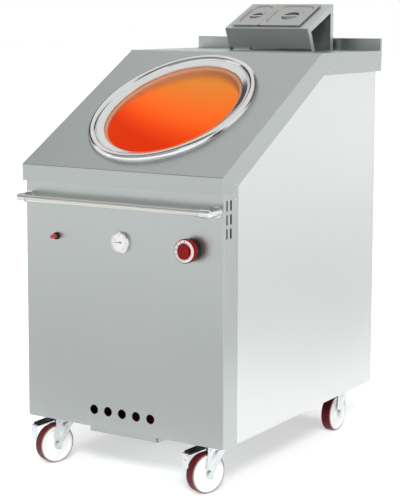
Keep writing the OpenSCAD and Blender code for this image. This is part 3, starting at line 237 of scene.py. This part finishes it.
def fired_clay():
    """Fired clay with a painted glow: it is no lamp, and its light is painted on. The rim and the first finger's width
    below it are salmon-coloured, unlit clay. Below that the wall's own colour is painted dark brown, a painted shade
    under the rim, and it glows: the depth under the slope's plane sets how much, and the place, from low in front to
    high at the back, sets the colour, from red through orange to amber."""
    made, tree, shader, place = start("fired_clay_painted_glow", Roughness=0.85, Emission_Strength=1.0)
    grain_w, ragged = 14 * MM, 5 * MM
    narrow, wider = 14 * MM, 26 * MM
    red_end, amber_end = -57 * MM, 151 * MM
    # Depth under the slope, from the distance to its plane, with a ragged edge
    plane = add(tree, "ShaderNodeVectorMath", {0: place, 1: tuple(OFF_SLOPE)}, operation="DOT_PRODUCT").outputs["Value"]
    level = float(OFF_SLOPE @ mouth)
    grain = add(tree, "ShaderNodeTexNoise", {"Vector": place, "Scale": 1 / grain_w, "Detail": 4.0}).outputs["Fac"]
    edge = add(tree, "ShaderNodeMath", {0: grain, 1: ragged, 2: -ragged / 2}, operation="MULTIPLY_ADD").outputs[0]
    depth = add(tree, "ShaderNodeMath", {0: level, 1: plane}, operation="SUBTRACT").outputs[0]
    depth = add(tree, "ShaderNodeMath", {0: depth, 1: edge}).outputs[0]
    # Colour of the painted glow: amber at the back and near the mouth, dull red low down and in front
    toward = np.array((0.03, 0.46, 0.89))
    across = add(tree, "ShaderNodeVectorMath", {0: place, 1: tuple(toward)}, operation="DOT_PRODUCT").outputs["Value"]
    centre = float(toward @ mouth)
    back_share = add(tree, "ShaderNodeMapRange",
               {"Value": across, "From Min": centre + red_end, "From Max": centre + amber_end}).outputs[0]
    # The unlit band under the rim is narrow in front and wide at the back, where the eye sees it face on
    lit_from = add(tree, "ShaderNodeMath", {0: back_share, 1: wider, 2: narrow}, operation="MULTIPLY_ADD").outputs[0]
    glow = add(tree, "ShaderNodeMapRange", {"Value": depth, "From Min": 1 * MM, "From Max": lit_from},
               interpolation_type="SMOOTHSTEP").outputs[0]
    ramp = add(tree, "ShaderNodeValToRGB", {"Fac": back_share})
    stops = ramp.color_ramp.elements
    stops[0].color, stops[1].color = linear("#dc3205"), linear("#e48632")
    stops.new(0.22).color = linear("#f04610")
    stops.new(0.5).color = linear("#ff671d")
    skin = add(tree, "ShaderNodeMix", {0: grain, 6: linear("#b57a58"), 7: linear("#c68c68")}, data_type="RGBA")
    # Painted shade: the glowing wall's own colour is painted dark brown, which shows as a shaded band under the rim
    painted_rim_shade = add(tree, "ShaderNodeMath", {0: glow, 1: 0.5}, operation="POWER").outputs[0]
    base = add(tree, "ShaderNodeMix", {0: painted_rim_shade, 6: skin.outputs[2], 7: linear("#2a1208")}, data_type="RGBA")
    light = add(tree, "ShaderNodeMix", {0: glow, 6: (0, 0, 0, 1), 7: ramp.outputs["Color"]}, data_type="RGBA")
    lifted = add(tree, "ShaderNodeBump", {"Strength": 0.35, "Distance": 0.8 * MM, "Height": grain})
    tree.links.new(base.outputs[2], shader.inputs["Base Color"])
    tree.links.new(light.outputs[2], shader.inputs["Emission Color"])
    tree.links.new(lifted.outputs["Normal"], shader.inputs["Normal"])
    return made


clay = fired_clay()

finishes = {
    satin: ["rear_panel", "top_cover", "crumb_tray", "tray_runners"],
    front_sheet_painted_lighter: ["front_panel"],
    rack_sheet: ["pan_rack"],
    side_sheet_painted_bright: ["left_side_panel", "right_side_panel"],
    polished: ["mouth_ring", "thermometer_case"],
    rail_steel: ["towel_rail"],
    bracket_steel: ["rail_brackets"],
    pan_sheet: ["small_pan", "large_pan", "small_lid", "large_lid"],
    primer: ["base_plate", "chassis_frame", "pot_stand", "pot_drum"],
    zinc: ["panel_screws", "caster_plates", "caster_bolts", "valve_spindle", "left_brake_pedal", "right_brake_pedal"],
    wool: ["insulation_jacket"],
    iron: ["burner"],
    brass: ["gas_valve", "burner_pipe", "inlet_pipe"],
    porcelain: ["ignition_electrode"],
    lead_rubber: ["ignition_lead"],
    black_plastic: ["igniter_housing", "knob_collar", "left_pedal_pad", "right_pedal_pad"],
    red_plastic: ["control_knob"],
    red_button: ["igniter_button"],
    scale_white: ["knob_scale"],
    dial_white: ["thermometer_dial"],
    dial_black: ["thermometer_needle"],
    glass: ["thermometer_glass"],
    clay: ["clay_pot"],
    nylon: [],
    tyre_red: [],
}
corners = ("front_left", "front_right", "rear_left", "rear_right")
for corner in corners:
    finishes[zinc] += [corner + "_fork", corner + "_axle"]
    finishes[nylon].append(corner + "_wheel")
    finishes[tyre_red].append(corner + "_tyre")
for material, names in finishes.items():
    for name in names:
        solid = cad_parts[name].data
        solid.materials.clear()
        solid.materials.append(material)


# Surfaces

# Points this near are one point, and edges this short are none
MERGE, SLIVER = 1e-6, 1e-7


def quads(rows, cols, close_rows, close_cols):
    """Corner numbers of the quads between neighbours in a grid of rows by cols points."""
    r, c = np.meshgrid(np.arange(rows - (not close_rows)), np.arange(cols - (not close_cols)), indexing="ij")
    r2, c2 = (r + 1) % rows, (c + 1) % cols
    return np.stack([r * cols + c, r2 * cols + c, r2 * cols + c2, r * cols + c2], -1).reshape(-1, 4)


def piece(name, grids, material, body, replaces=(), sharp=38):
    """One object from grids of points, each (points, close rows, close columns). Points that coincide at poles and
    seams are merged, and the faces turned outwards. Edges that turn by more than sharp degrees stay sharp."""
    points, faces, first = [], [], 0
    for grid, close_rows, close_cols in grids:
        rows, cols = grid.shape[:2]
        points.append(grid.reshape(-1, 3))
        faces.append(quads(rows, cols, close_rows, close_cols) + first)
        first += rows * cols
    mesh = bpy.data.meshes.new(name)
    mesh.from_pydata(np.concatenate(points), [], np.concatenate(faces))
    shape = bmesh.new()
    shape.from_mesh(mesh)
    bmesh.ops.remove_doubles(shape, verts=shape.verts, dist=MERGE)
    bmesh.ops.dissolve_degenerate(shape, edges=shape.edges, dist=SLIVER)
    bmesh.ops.recalc_face_normals(shape, faces=shape.faces)
    shape.to_mesh(mesh)
    shape.free()
    mesh.shade_smooth()
    mesh.set_sharp_from_angle(angle=math.radians(sharp))
    mesh.materials.append(material)
    made = bpy.data.objects.new(name, mesh)
    scene.collection.objects.link(made)
    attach(made, body)
    if replaces:
        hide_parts(*replaces)
    return made


def rounded(corners, radii, steps=6, closed=False):
    """A flat line with its corners rounded: each corner becomes an arc that touches both of its sides."""
    p = np.array(corners, float)
    n = len(p)
    out = []
    for i in range(n):
        r = radii[i]
        if r == 0 or (not closed and i in (0, n - 1)):
            out.append(p[i:i + 1])
            continue
        u, v = p[i - 1] - p[i], p[(i + 1) % n] - p[i]
        u, v = u / np.linalg.norm(u), v / np.linalg.norm(v)
        half = math.acos(np.clip(u @ v, -1, 1)) / 2
        centre = p[i] + (u + v) / np.linalg.norm(u + v) * r / math.sin(half)
        s, e = p[i] + u * r / math.tan(half) - centre, p[i] + v * r / math.tan(half) - centre
        a0 = math.atan2(s[1], s[0])
        turn = (math.atan2(e[1], e[0]) - a0 + math.pi) % (2 * math.pi) - math.pi
        a = a0 + turn * np.linspace(0, 1, steps + 1)
        out.append(centre + r * np.stack([np.cos(a), np.sin(a)], -1))
    return np.concatenate(out)


def outline(width, length, radius, steps=20):
    """A rectangle with round corners, as points round its edge."""
    w, l = width / 2, length / 2
    line = rounded([(-w, -l), (w, -l), (w, l), (-w, l)], [radius] * 4, steps, closed=True)
    return np.concatenate([line, line[:1]])


def distances(line):
    """How far along a line each of its points lies."""
    return np.concatenate([[0], np.cumsum(np.linalg.norm(np.diff(line, axis=0), axis=1))])


def refined(line, step):
    """The same line with points added, so that no stretch is longer than step."""
    far = distances(line)
    at = np.unique(np.concatenate([far, np.linspace(0, far[-1], int(far[-1] / step) + 2)]))
    return np.stack([np.interp(at, far, line[:, k]) for k in (0, 1)], -1)


def even(line, steps):
    """The points at equal steps along a closed line."""
    far = distances(line)
    at = np.linspace(0, far[-1], steps, endpoint=False)
    return np.stack([np.interp(at, far, line[:, k]) for k in (0, 1)], -1)


def around(steps):
    """Equal angles of a full turn."""
    return np.linspace(0, 2 * math.pi, steps, endpoint=False)


def turned(profile, centre, axis, side, steps):
    """A profile of radius and height turned round an axis: centre + height * axis + radius * (cos side + sin other)."""
    t = around(steps)
    other = np.cross(axis, side)
    round_it = np.cos(t)[:, None] * side + np.sin(t)[:, None] * other
    return np.asarray(centre) + profile[:, 1, None, None] * axis + profile[:, 0, None, None] * round_it


def carried(section, start, end, right, up):
    """A closed section of (right, up) points carried straight from start to end, with a cap drawn to a point at
    either end."""
    shape = section[:, :1] * right + section[:, 1:] * up
    middle_of = shape.mean(0)
    ends = [np.broadcast_to(p + middle_of, shape.shape) for p in (start, end)]
    return np.stack([ends[0], start + shape, end + shape, ends[1]])


# Mouth ring: a buffed bead round the mouth, a groove, and an inner band that leans in to the clay.
RING_FOOT = 0.1 * MM
BAND_LOW, BAND_HIGH, GROOVE_H = 4.2 * MM, 12.3 * MM, 9.9 * MM
BEAD_FROM = 150  # degrees round the bead at which it leaves the groove


def mouth_line(off, height, steps=288):
    """A line round the mouth on the slope: an ellipse of half axes r + off across and r / cos(slope) + off along,
    lifted off the slope by a height."""
    t = around(steps)[None, :, None]
    off, height = off[:, None, None], height[:, None, None]
    wide = MOUTH_R + RIM_SHOW + off
    long = MOUTH_R / math.cos(slope_a) + RIM_SHOW + off
    return mouth + wide * np.cos(t) * X + long * np.sin(t) * UP_SLOPE + height * OFF_SLOPE


band = rounded([(0, RING_FOOT), (0, BAND_LOW), (BAND_W - 1.5 * MM, BAND_HIGH), (BAND_W + 0.9 * MM, GROOVE_H)],
               [0, 3.4 * MM, 1.6 * MM, 0], 10)
lean = np.radians(np.linspace(BEAD_FROM, 0, 40))
bead = np.stack([BAND_W + BEAD_W / 2 * (1 + np.cos(lean)), np.maximum(BEAD_H * np.sin(lean), RING_FOOT)], -1)
ring_section = np.concatenate([refined(band, 2 * MM), bead])
piece("buffed_mouth_ring", [(mouth_line(ring_section[:, 0], ring_section[:, 1]), True, True)],
      polished, "cabinet", ["mouth_ring"])

# Clay pot: thrown by hand, so the wall wavers by under a millimetre, with a rounded lip at the mouth.
NECK_DROP, BELLY_DROP, HIP_RISE = 30 * MM, 255 * MM, 190 * MM
neck_z = slope_z(pot_y - MOUTH_R - POT_WALL) - NECK_DROP
belly_z = neck_z - BELLY_DROP
stand_z = pot_lo.z
hip_z = stand_z + HIP_RISE
floor_z = stand_z + POT_WALL
FIRE_HOLE_R = 110 * MM
LIP = 7 * MM
BELOW_SLOPE = 1.2 * MM


def clay_wall(steps=224):
    """The pot's section turned about its axis. Up to the neck its heights are fixed; above, they are shared out
    between the neck and the slope, so that the mouth is cut along the slope with a rounded lip."""
    neck_r, belly_out = MOUTH_R + POT_WALL, BELLY_R + POT_WALL
    inner = rounded([(FIRE_HOLE_R, stand_z), (FIRE_HOLE_R, floor_z), (BELLY_R - 30 * MM, floor_z + 12 * MM),
                     (BELLY_R, hip_z), (BELLY_R, belly_z), (MOUTH_R, neck_z)],
                    [0, 8 * MM, 50 * MM, 160 * MM, 300 * MM, 0], 10)
    outer = rounded([(neck_r, neck_z), (belly_out, belly_z), (belly_out, hip_z), (BELLY_R - 16 * MM, stand_z)],
                    [0, 60 * MM, 60 * MM, 0], 6)
    inner, outer = refined(inner, 12 * MM), refined(outer, 30 * MM)
    # Rows above the neck: up the inside, over the lip's two arcs, and down the outside
    up_n, lip_n, down_n, near_top = 13, 7, 4, 0.94
    a = np.linspace(0, math.pi / 2, lip_n)
    share = np.concatenate([np.linspace(0, near_top, up_n + 1)[1:], np.ones(2 * lip_n),
                            np.linspace(near_top, 0, down_n + 1)[:-1]])
    drop = np.concatenate([np.zeros(up_n), LIP * (1 - np.sin(a)), LIP * (1 - np.cos(a)), np.zeros(down_n)])
    edge = np.concatenate([np.full(up_n, MOUTH_R), MOUTH_R + LIP * (1 - np.cos(a)),
                           neck_r - LIP * (1 - np.sin(a)), np.full(down_n, neck_r)])
    radius = np.concatenate([inner[:, 0], edge, outer[:, 0]])[:, None]
    low = np.concatenate([inner[:, 1], np.full(len(edge), neck_z), outer[:, 1]])[:, None]
    share = np.concatenate([np.zeros(len(inner)), share, np.zeros(len(outer))])[:, None]
    drop = np.concatenate([np.zeros(len(inner)), drop, np.zeros(len(outer))])[:, None]
    t = around(steps)[None, :]
    top = slope_z(pot_y + radius * np.sin(t)) - BELOW_SLOPE
    z = low + share * (top - low) - drop
    # Three slow waves and seven faint ones round the wall, which drift with the height
    waver = 0.5 * MM * np.sin(3 * t + z / (45 * MM)) + 0.3 * MM * np.sin(7 * t - z / (70 * MM))
    inside = radius <= MOUTH_R + LIP
    r = radius + np.where(inside & (z < top - 20 * MM), waver, 0)
    return np.stack([r * np.cos(t), pot_y + r * np.sin(t), z], -1)


piece("thrown_clay_pot", [(clay_wall(), True, True)], clay, "cabinet", ["clay_pot"], sharp=60)

# Pan lids: a pressed field with wide corners round a round well, and a strap across the well.
LID_CORNER, FIELD_CORNER, FIELD_IN = 5 * MM, 34 * MM, 30 * MM
WELL_DEEP, DISH_DEEP, FIELD_DEEP = 15.5 * MM, 4.6 * MM, 3.2 * MM
DISH_SLOPE, DISH_RIM = 1.5 * MM, 4 * MM
FIELD_WALL = 0.05  # run of the field's wall, as a share of the field's width
EDGE_FLAT, EDGE_DOWN = 0.995, 0.35 * MM  # share of the outline where the edge turns down, and by how much
STRAP_W, STRAP_T, STRAP_DEEP = 12 * MM, 2 * MM, 5.8 * MM
# Node, well and dish diameter, and width
LIDS = (("small_lid", 46 * MM, 66 * MM, 108 * MM), ("large_lid", 62 * MM, 94 * MM, 162 * MM))


def lid_top(node):
    """Middle of a lid's upper face: half a lid down the rack's slope from its top rear edge."""
    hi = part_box(node)[1]
    # The top rear edge is the box's highest line, and the bottom rear edge its furthest back
    rear_top = np.array((0.0, hi.y - PAN_T * math.sin(RACK_SLOPE), hi.z))
    return rear_top - UP_RACK * PAN_L / 2 + X * middle(node)[0]


def lid_surface(top, cup_r, dish_r, width, steps=192):
    """Rings of points from the well's middle out to the lid's edge and back underneath. In the well and the shallow
    dish round it they are circles; from the dish's edge they change evenly to the field's outline, then to the lid's
    own outline. Each ring has its own height."""
    edge = even(outline(width, PAN_L, LID_CORNER), steps)
    field = even(outline(width - FIELD_IN, PAN_L - FIELD_IN, FIELD_CORNER), steps)
    angle = np.arctan2(edge[:, 1], edge[:, 0])
    circle = np.stack([np.cos(angle), np.sin(angle)], -1)
    well = rounded([(0, -WELL_DEEP), (cup_r, -WELL_DEEP), (cup_r, -DISH_DEEP), (dish_r - DISH_SLOPE, -DISH_DEEP),
                    (dish_r + DISH_SLOPE, -FIELD_DEEP), (dish_r + DISH_RIM, -FIELD_DEEP)],
                   [0, 3 * MM, 2 * MM, 0.8 * MM, 0.8 * MM, 0], 6)
    rings = [circle * r for r in well[:, 0]]
    heights = list(well[:, 1])
    # Across the field, up its wall, and out to the lid's edge
    for t in np.linspace(0.15, 1, 8):
        rings.append((1 - t) * circle * (dish_r + DISH_RIM) + t * field)
        heights.append(-FIELD_DEEP)
    for t in np.linspace(0, 1, 7)[1:]:
        rings.append(field * (1 + FIELD_WALL * t))
        heights.append(-FIELD_DEEP * (0.5 + 0.5 * math.cos(math.pi * t)))
    for t in np.linspace(0, 1, 5)[1:]:
        rings.append((1 - t) * field * (1 + FIELD_WALL) + t * edge * EDGE_FLAT)
        heights.append(0.0)
    rings.append(edge)
    heights.append(-EDGE_DOWN)
    rings, heights = np.array(rings), np.array(heights)
    rings = np.concatenate([rings, rings[::-1]])
    heights = np.concatenate([heights, heights[::-1] - PAN_T])
    return top + rings[..., :1] * X + rings[..., 1:] * UP_RACK + heights[:, None, None] * OFF_RACK


strap = even(outline(STRAP_W, STRAP_T, 0.8 * MM, 4), 40)
for node, cup_d, dish_d, width in LIDS:
    top = lid_top(node)
    ends = X * (cup_d / 2 + 0.5 * MM)
    sunk = top - OFF_RACK * STRAP_DEEP
    bar = carried(strap, sunk - ends, sunk + ends, UP_RACK, OFF_RACK)
    pressed = lid_surface(top, cup_d / 2, dish_d / 2, width)
    piece("pressed_" + node, [(pressed, False, True), (bar, False, True)],
          pan_sheet, node, [node], sharp=30)

# Control knob: a turned skirt with soft edges, and a grip with two flat sides and a crowned top.
knob_lo, knob_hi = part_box("control_knob")
knob_x, knob_z = (knob_lo.x + knob_hi.x) / 2, (knob_lo.z + knob_hi.z) / 2
knob_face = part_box("knob_scale")[1].y
GRIP_R, GRIP_FLAT, GRIP_H, GRIP_EDGE, GRIP_CROWN = 23 * MM, 19 * MM, 9 * MM, 3.2 * MM, 0.8 * MM
GRIP_SUNK = 1 * MM
GRIP_SOFT = 14.0  # the higher, the sharper the flats meet the round
SKIRT_R, SPINDLE_BORE = 36.5 * MM, 4.05 * MM


def knob_grip(steps=160):
    """Rings whose outline is the soft minimum of a circle and of two flat sides, (r^-n + flat^-n)^(-1/n). They rise
    straight, turn over a round edge and close on a low crown."""
    t = around(steps)
    flat = GRIP_FLAT / np.maximum(np.abs(np.cos(t)), 1e-3)
    reach = (GRIP_R ** -GRIP_SOFT + flat ** -GRIP_SOFT) ** (-1 / GRIP_SOFT)
    a = np.linspace(0, math.pi / 2, 8)
    inward = np.concatenate([[0], GRIP_EDGE * (1 - np.cos(a))])
    height = np.concatenate([[-GRIP_SUNK], GRIP_H - GRIP_CROWN - GRIP_EDGE + GRIP_EDGE * np.sin(a)])
    shrink = np.linspace(1, 0, 10)[1:]
    rings = np.concatenate([reach[None] - inward[:, None], (reach[None] - GRIP_EDGE) * shrink[:, None]])
    height = np.concatenate([height, GRIP_H - GRIP_CROWN * shrink ** 2])
    at = np.array((knob_x, knob_face, knob_z))
    return at + rings[..., None] * (np.cos(t)[:, None] * X + np.sin(t)[:, None] * Z) + height[:, None, None] * FRONT


skirt_depth = knob_hi.y - knob_face
skirt = rounded([(SPINDLE_BORE, 0), (SKIRT_R - 1 * MM, 0), (SKIRT_R, 2 * MM), (SKIRT_R, skirt_depth), (0, skirt_depth)],
                [0, 0.6 * MM, 1 * MM, 2.4 * MM, 0], 6)
spine = np.array((knob_x, knob_hi.y, knob_z))
knob_skirt = turned(refined(skirt, 4 * MM), spine, FRONT, X, 128)
piece("turned_control_knob", [(knob_skirt, False, True), (knob_grip(), False, True)],
      red_plastic, "knob", ["control_knob"])


def bars(angles, radius, long, wide, deep, at):
    """Small flat bars that point away from a centre, one at each angle: a box of four corners with soft edges,
    carried outwards with its middle at a radius."""
    face = even(outline(wide, deep, deep * 0.2, 2), 16)
    made = []
    for angle in angles:
        away = math.cos(angle) * X + math.sin(angle) * Z
        near, far = at + away * (radius - long / 2), at + away * (radius + long / 2)
        made.append((carried(face, near, far, np.cross(FRONT, away), FRONT), False, True))
    return made


# Five marks on the knob's scale, 28 degrees apart
settings = np.radians((200, 172, 144, 116, 88))
scale_middle = np.array((knob_x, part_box("knob_scale")[0].y, knob_z))
ticks = bars(settings, 29 * MM, 6 * MM, 2.2 * MM, 0.3 * MM, scale_middle)
piece("knob_scale_marks", ticks, dial_black, "knob")

# Thermometer: printed marks round the dial, with a number at every second long one.
dial_lo, dial_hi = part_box("thermometer_dial")
dial = np.array(((dial_lo.x + dial_hi.x) / 2, dial_lo.y, (dial_lo.z + dial_hi.z) / 2))
INK, NUMBER_R, NUMBER_H = 0.16 * MM, 20 * MM, 5 * MM
# The needle rests at nine o'clock; the scale starts 30 degrees below and runs 270 degrees round the top
sweep = np.radians(np.linspace(210, -60, 21))
marks = bars(sweep[::2], 26.5 * MM, 4 * MM, 0.9 * MM, INK, dial)
marks += bars(sweep[1::2], 27.5 * MM, 2 * MM, 0.6 * MM, INK, dial)
piece("thermometer_marks", marks, dial_ink, "cabinet")


def dial_number(text, angle):
    """A number as a thin flat mesh on the dial, upright, with its middle at an angle."""
    drawn = bpy.data.curves.new("number_" + text, "FONT")
    drawn.body, drawn.size, drawn.extrude = text, NUMBER_H, 0.03 * MM
    drawn.align_x, drawn.align_y = "CENTER", "CENTER"
    holder = bpy.data.objects.new("number_" + text, drawn)
    scene.collection.objects.link(holder)
    bpy.context.view_layer.update()
    mesh = bpy.data.meshes.new_from_object(holder.evaluated_get(bpy.context.evaluated_depsgraph_get()))
    bpy.data.objects.remove(holder)
    flat = np.empty(len(mesh.vertices) * 3)
    mesh.vertices.foreach_get("co", flat)
    flat = flat.reshape(-1, 3)
    at = dial + NUMBER_R * (math.cos(angle) * X + math.sin(angle) * Z) + 0.05 * MM * FRONT
    mesh.vertices.foreach_set("co", (at + flat[:, :1] * X + flat[:, 1:2] * Z + flat[:, 2:] * FRONT).ravel())
    mesh.materials.clear()
    mesh.materials.append(dial_ink)
    made = bpy.data.objects.new("dial_number_" + text, mesh)
    scene.collection.objects.link(made)
    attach(made, "cabinet")


for number, angle in zip(("0", "100", "200", "300", "400", "500"), sweep[::4]):
    dial_number(number, angle)

# Casters: turned wheel cores with a dished face, tyres with round shoulders, and a rib pressed into each fork leg.
WHEEL_R, TYRE_T, FORK_OUT = 62.5 * MM, 5.5 * MM, 22 * MM
CORE_R = WHEEL_R - TYRE_T
AXLE_BORE, HUB_R, HUB_OUT = 6.05 * MM, 16 * MM, 19 * MM
HUB_FOOT, DISH_OUT, RIM_OUT = 15.4 * MM, 14 * MM, 17 * MM
TYRE_IN, TYRE_OUT, SHOULDER = CORE_R + 0.05 * MM, 16.8 * MM, 4 * MM
GREY_WALL_FROM, GREY_WALL_FADE = 14.5 * MM, 2 * MM
RIB_RISE, RIB_SUNK = 5 * MM, 0.3 * MM
# The rib's top end behind and above the axle, and how far it runs forward and down from there
RIB_BACK, RIB_FORWARD = 31 * MM, 19 * MM
RIB_TOP, RIB_FALL = 70 * MM, 46 * MM
# Its half width, how much of that it loses on the way, and the roundness of its ends
RIB_HALF, RIB_NARROWS = 19 * MM, 9 * MM
RIB_BLUNT, RIB_POWER = 0.06, 0.35


def fork_rib(hub, axle, side, steps=24):
    """A pressed rib on a fork leg's outer face: it runs from below the crown towards the axle and narrows, and its
    height is 1 - s^2 across it and the root of sin(pi v) along it. A flat back closes it just inside the leg."""
    s, v = np.linspace(-1, 1, steps)[None, :], np.linspace(0, 1, steps)[:, None]
    behind = np.cross(Z, axle)
    taper = np.sin(math.pi * (RIB_BLUNT + (1 - 2 * RIB_BLUNT) * v)) ** RIB_POWER
    back = RIB_BACK - RIB_FORWARD * v + (RIB_HALF - RIB_NARROWS * v) * s * taper
    up = RIB_TOP - RIB_FALL * v + 0 * s
    rise = RIB_RISE * (1 - s ** 2) * np.sqrt(np.abs(np.sin(math.pi * v)))
    foot = hub + back[..., None] * behind + up[..., None] * Z
    reach = np.stack([FORK_OUT - RIB_SUNK + rise, FORK_OUT - RIB_SUNK + 0 * rise])
    return [(foot + side * r[..., None] * axle, False, False) for r in reach]


core_side = rounded([(AXLE_BORE, HUB_OUT), (HUB_R, HUB_OUT), (HUB_R + 1.5 * MM, HUB_FOOT),
                     (CORE_R - 12 * MM, DISH_OUT), (CORE_R - 6 * MM, RIM_OUT), (CORE_R, RIM_OUT)],
                    [0, 1.2 * MM, 3 * MM, 6 * MM, 3 * MM, 0], 6)
core = refined(np.concatenate([core_side * (1, -1), core_side[::-1]]), 4 * MM)
core = np.concatenate([core, core[:1]])
tread = rounded([(TYRE_IN, -TYRE_OUT), (WHEEL_R, -TYRE_OUT), (WHEEL_R, TYRE_OUT), (TYRE_IN, TYRE_OUT)],
                [0, SHOULDER, SHOULDER, 0], 6)
tread = np.concatenate([refined(tread, 3 * MM), tread[:1]])
for corner in corners:
    turn = FRONT_TURN if corner.startswith("front") else 0.0
    axle = np.array((math.cos(turn), math.sin(turn), 0.0))
    hub = middle(corner + "_axle")
    piece(corner + "_cast_core", [(turned(core, hub, axle, Z, 128), False, True)],
          nylon, corner + "_roller", [corner + "_wheel"], sharp=50)
    tyre = piece(corner + "_cast_tyre", [(turned(tread, hub, axle, Z, 160), False, True)],
                 tyre_red, corner + "_roller", [corner + "_tyre"], sharp=50).data
    spots = np.empty(len(tyre.vertices) * 3)
    tyre.vertices.foreach_get("co", spots)
    beside = np.abs((spots.reshape(-1, 3) - hub) @ axle)
    walls = tyre.attributes.new("side_wall", "FLOAT", "POINT")
    walls.data.foreach_set("value", np.clip((beside - GREY_WALL_FROM) / GREY_WALL_FADE, 0, 1))
    piece(corner + "_fork_ribs", fork_rib(hub, axle, 1) + fork_rib(hub, axle, -1), zinc, corner + "_caster")

# Studio: a white floor that keeps the object's shadow, white light all round, three far lamps, and grey cards that
# only reflections see, as a darker room round a white backdrop.
FLOOR_HALF, FLOOR_LIFT = 40, 0.5
SKY_LIGHT, SKY_SEEN = 0.25, 1.0


def seen_rays(tree):
    """1 for a ray that shows a surface, straight on, in a reflection or through glass, and 0 for one that lights it."""
    path = add(tree, "ShaderNodeLightPath").outputs
    seen = add(tree, "ShaderNodeMath", {0: path["Is Camera Ray"], 1: path["Is Glossy Ray"]}, operation="MAXIMUM")
    return add(tree, "ShaderNodeMath", {0: seen.outputs[0], 1: path["Is Transmission Ray"]},
               operation="MAXIMUM").outputs[0]


floor_mesh = bpy.data.meshes.new("floor")
floor_mesh.from_pydata([(-FLOOR_HALF, -FLOOR_HALF, 0), (FLOOR_HALF, -FLOOR_HALF, 0), (FLOOR_HALF, FLOOR_HALF, 0),
                        (-FLOOR_HALF, FLOOR_HALF, 0)], [], [(0, 1, 2, 3)])
floor = bpy.data.objects.new("floor", floor_mesh)
scene.collection.objects.link(floor)
# Matt white paint, lifted a little for the eye so that its shadow is a pale grey.
floor_paint, floor_tree, floor_shader, _ = start("white_floor_paint", Roughness=0.9, Base_Color=linear("#e8e8e8"),
                                                 Specular_IOR_Level=0.0, Emission_Color=(1, 1, 1, 1))
lift = add(floor_tree, "ShaderNodeMath", {0: seen_rays(floor_tree), 1: FLOOR_LIFT}, operation="MULTIPLY").outputs[0]
floor_tree.links.new(lift, floor_shader.inputs["Emission Strength"])
floor_mesh.materials.append(floor_paint)

world = bpy.data.worlds.new("studio")
scene.world = world
world.use_nodes = True
sky = world.node_tree
strength = add(sky, "ShaderNodeMapRange", {"Value": seen_rays(sky), "To Min": SKY_LIGHT, "To Max": SKY_SEEN}).outputs[0]
sky.nodes["Background"].inputs["Color"].default_value = (1, 1, 1, 1)
sky.links.new(strength, sky.nodes["Background"].inputs["Strength"])


def card(name, colour, corners):
    """A flat grey card that only reflections see."""
    mesh = bpy.data.meshes.new(name)
    mesh.from_pydata(corners, [], [(0, 1, 2, 3)])
    paint = start(name + "_cloth", Base_Color=(0, 0, 0, 1), Roughness=1.0, Specular_IOR_Level=0.0,
                  Emission_Color=linear(colour), Emission_Strength=1.0)[0]
    mesh.materials.append(paint)
    made = bpy.data.objects.new(name, mesh)
    scene.collection.objects.link(made)
    made.visible_camera = made.visible_diffuse = made.visible_transmission = False
    made.visible_shadow = made.visible_volume_scatter = False


card("front_card", "#a8a8a8", [(-10, -7, 1.9), (4, -7, 1.9), (4, -7, 5.5), (-10, -7, 5.5)])
card("floor_card", "#e4e4e4", [(-4, -3.4, 0.01), (1.5, -3.4, 0.01), (1.5, -0.8, 0.01), (-4, -0.8, 0.01)])
card("ceiling_card", "#efefef", [(-8, -1.5, 4.6), (6, -1.5, 4.6), (6, 6, 4.6), (-8, 6, 4.6)])
card("front_ceiling_card", "#7a7a7a", [(-8, -5, 4.6), (6, -5, 4.6), (6, -1.5, 4.6), (-8, -1.5, 4.6)])
card("rear_ceiling_card", "#646464", [(-0.8, 2.7, 4.55), (5, 2.7, 4.55), (5, 9, 4.55), (-0.8, 9, 4.55)])
card("left_card", "#464646", [(-5, -0.4, 1.9), (-3.5, 3.5, 1.9), (-3.5, 3.5, 4.55), (-5, -0.4, 4.55)])
card("right_card", "#303030", [(4.2, -1.2, 0.3), (4.2, 0.2, 0.3), (4.2, 0.2, 2.4), (4.2, -1.2, 2.4)])
card("right_floor_card", "#e7e7e7", [(0.95, 0.9, 0.012), (4.5, 0.9, 0.012), (4.5, 6, 0.012), (0.95, 6, 0.012)])


def lamp(name, place, spread, strength):
    """A far lamp that shines from a place towards the object, so that its light is the same all over the floor. Its
    spread is in degrees, and reflections don't see it."""
    data = bpy.data.lights.new(name, "SUN")
    data.angle, data.energy = math.radians(spread), strength
    made = bpy.data.objects.new(name, data)
    made.location = place
    made.rotation_mode = "QUATERNION"
    made.rotation_quaternion = (-Vector(place)).to_track_quat("-Z", "Y")
    made.visible_camera = made.visible_glossy = False
    scene.collection.objects.link(made)


lamp("top_lamp", (0, 0, 6), 40, 1.0)
lamp("key_lamp", (3, -4.8, 4), 13, 2.0)
lamp("low_lamp", (5, -1.5, 1.2), 30, 0.9)

# Camera: the photograph's place, with its frame a little below the optical axis
YAW, PITCH, ROLL = (math.radians(a) for a in (-32.313, 7.287, 0.159))
LENS, SENSOR, SHIFT = 106.539, 36, -0.1
EYE_X, EYE_AHEAD, EYE_Z = 2.581, 3.6326, 1.4498
ahead = np.array((math.sin(YAW) * math.cos(PITCH), math.cos(YAW) * math.cos(PITCH), -math.sin(PITCH)))
right = np.array((math.cos(YAW), -math.sin(YAW), 0.0))
above = np.cross(right, ahead)
right, above = math.cos(ROLL) * right + math.sin(ROLL) * above, math.cos(ROLL) * above - math.sin(ROLL) * right
view = bpy.data.cameras.new("photo_view")
view.lens, view.sensor_width, view.shift_y = LENS, SENSOR, SHIFT
view.clip_start, view.clip_end = 0.1, 200
camera = bpy.data.objects.new("photo_view", view)
pose = np.eye(4)
pose[:3, 0], pose[:3, 1], pose[:3, 2] = right, above, -ahead
pose[:3, 3] = (EYE_X, front_y - EYE_AHEAD, EYE_Z)
camera.matrix_world = Matrix(pose)
scene.collection.objects.link(camera)
scene.camera = camera
scene.view_settings.view_transform = "Standard"
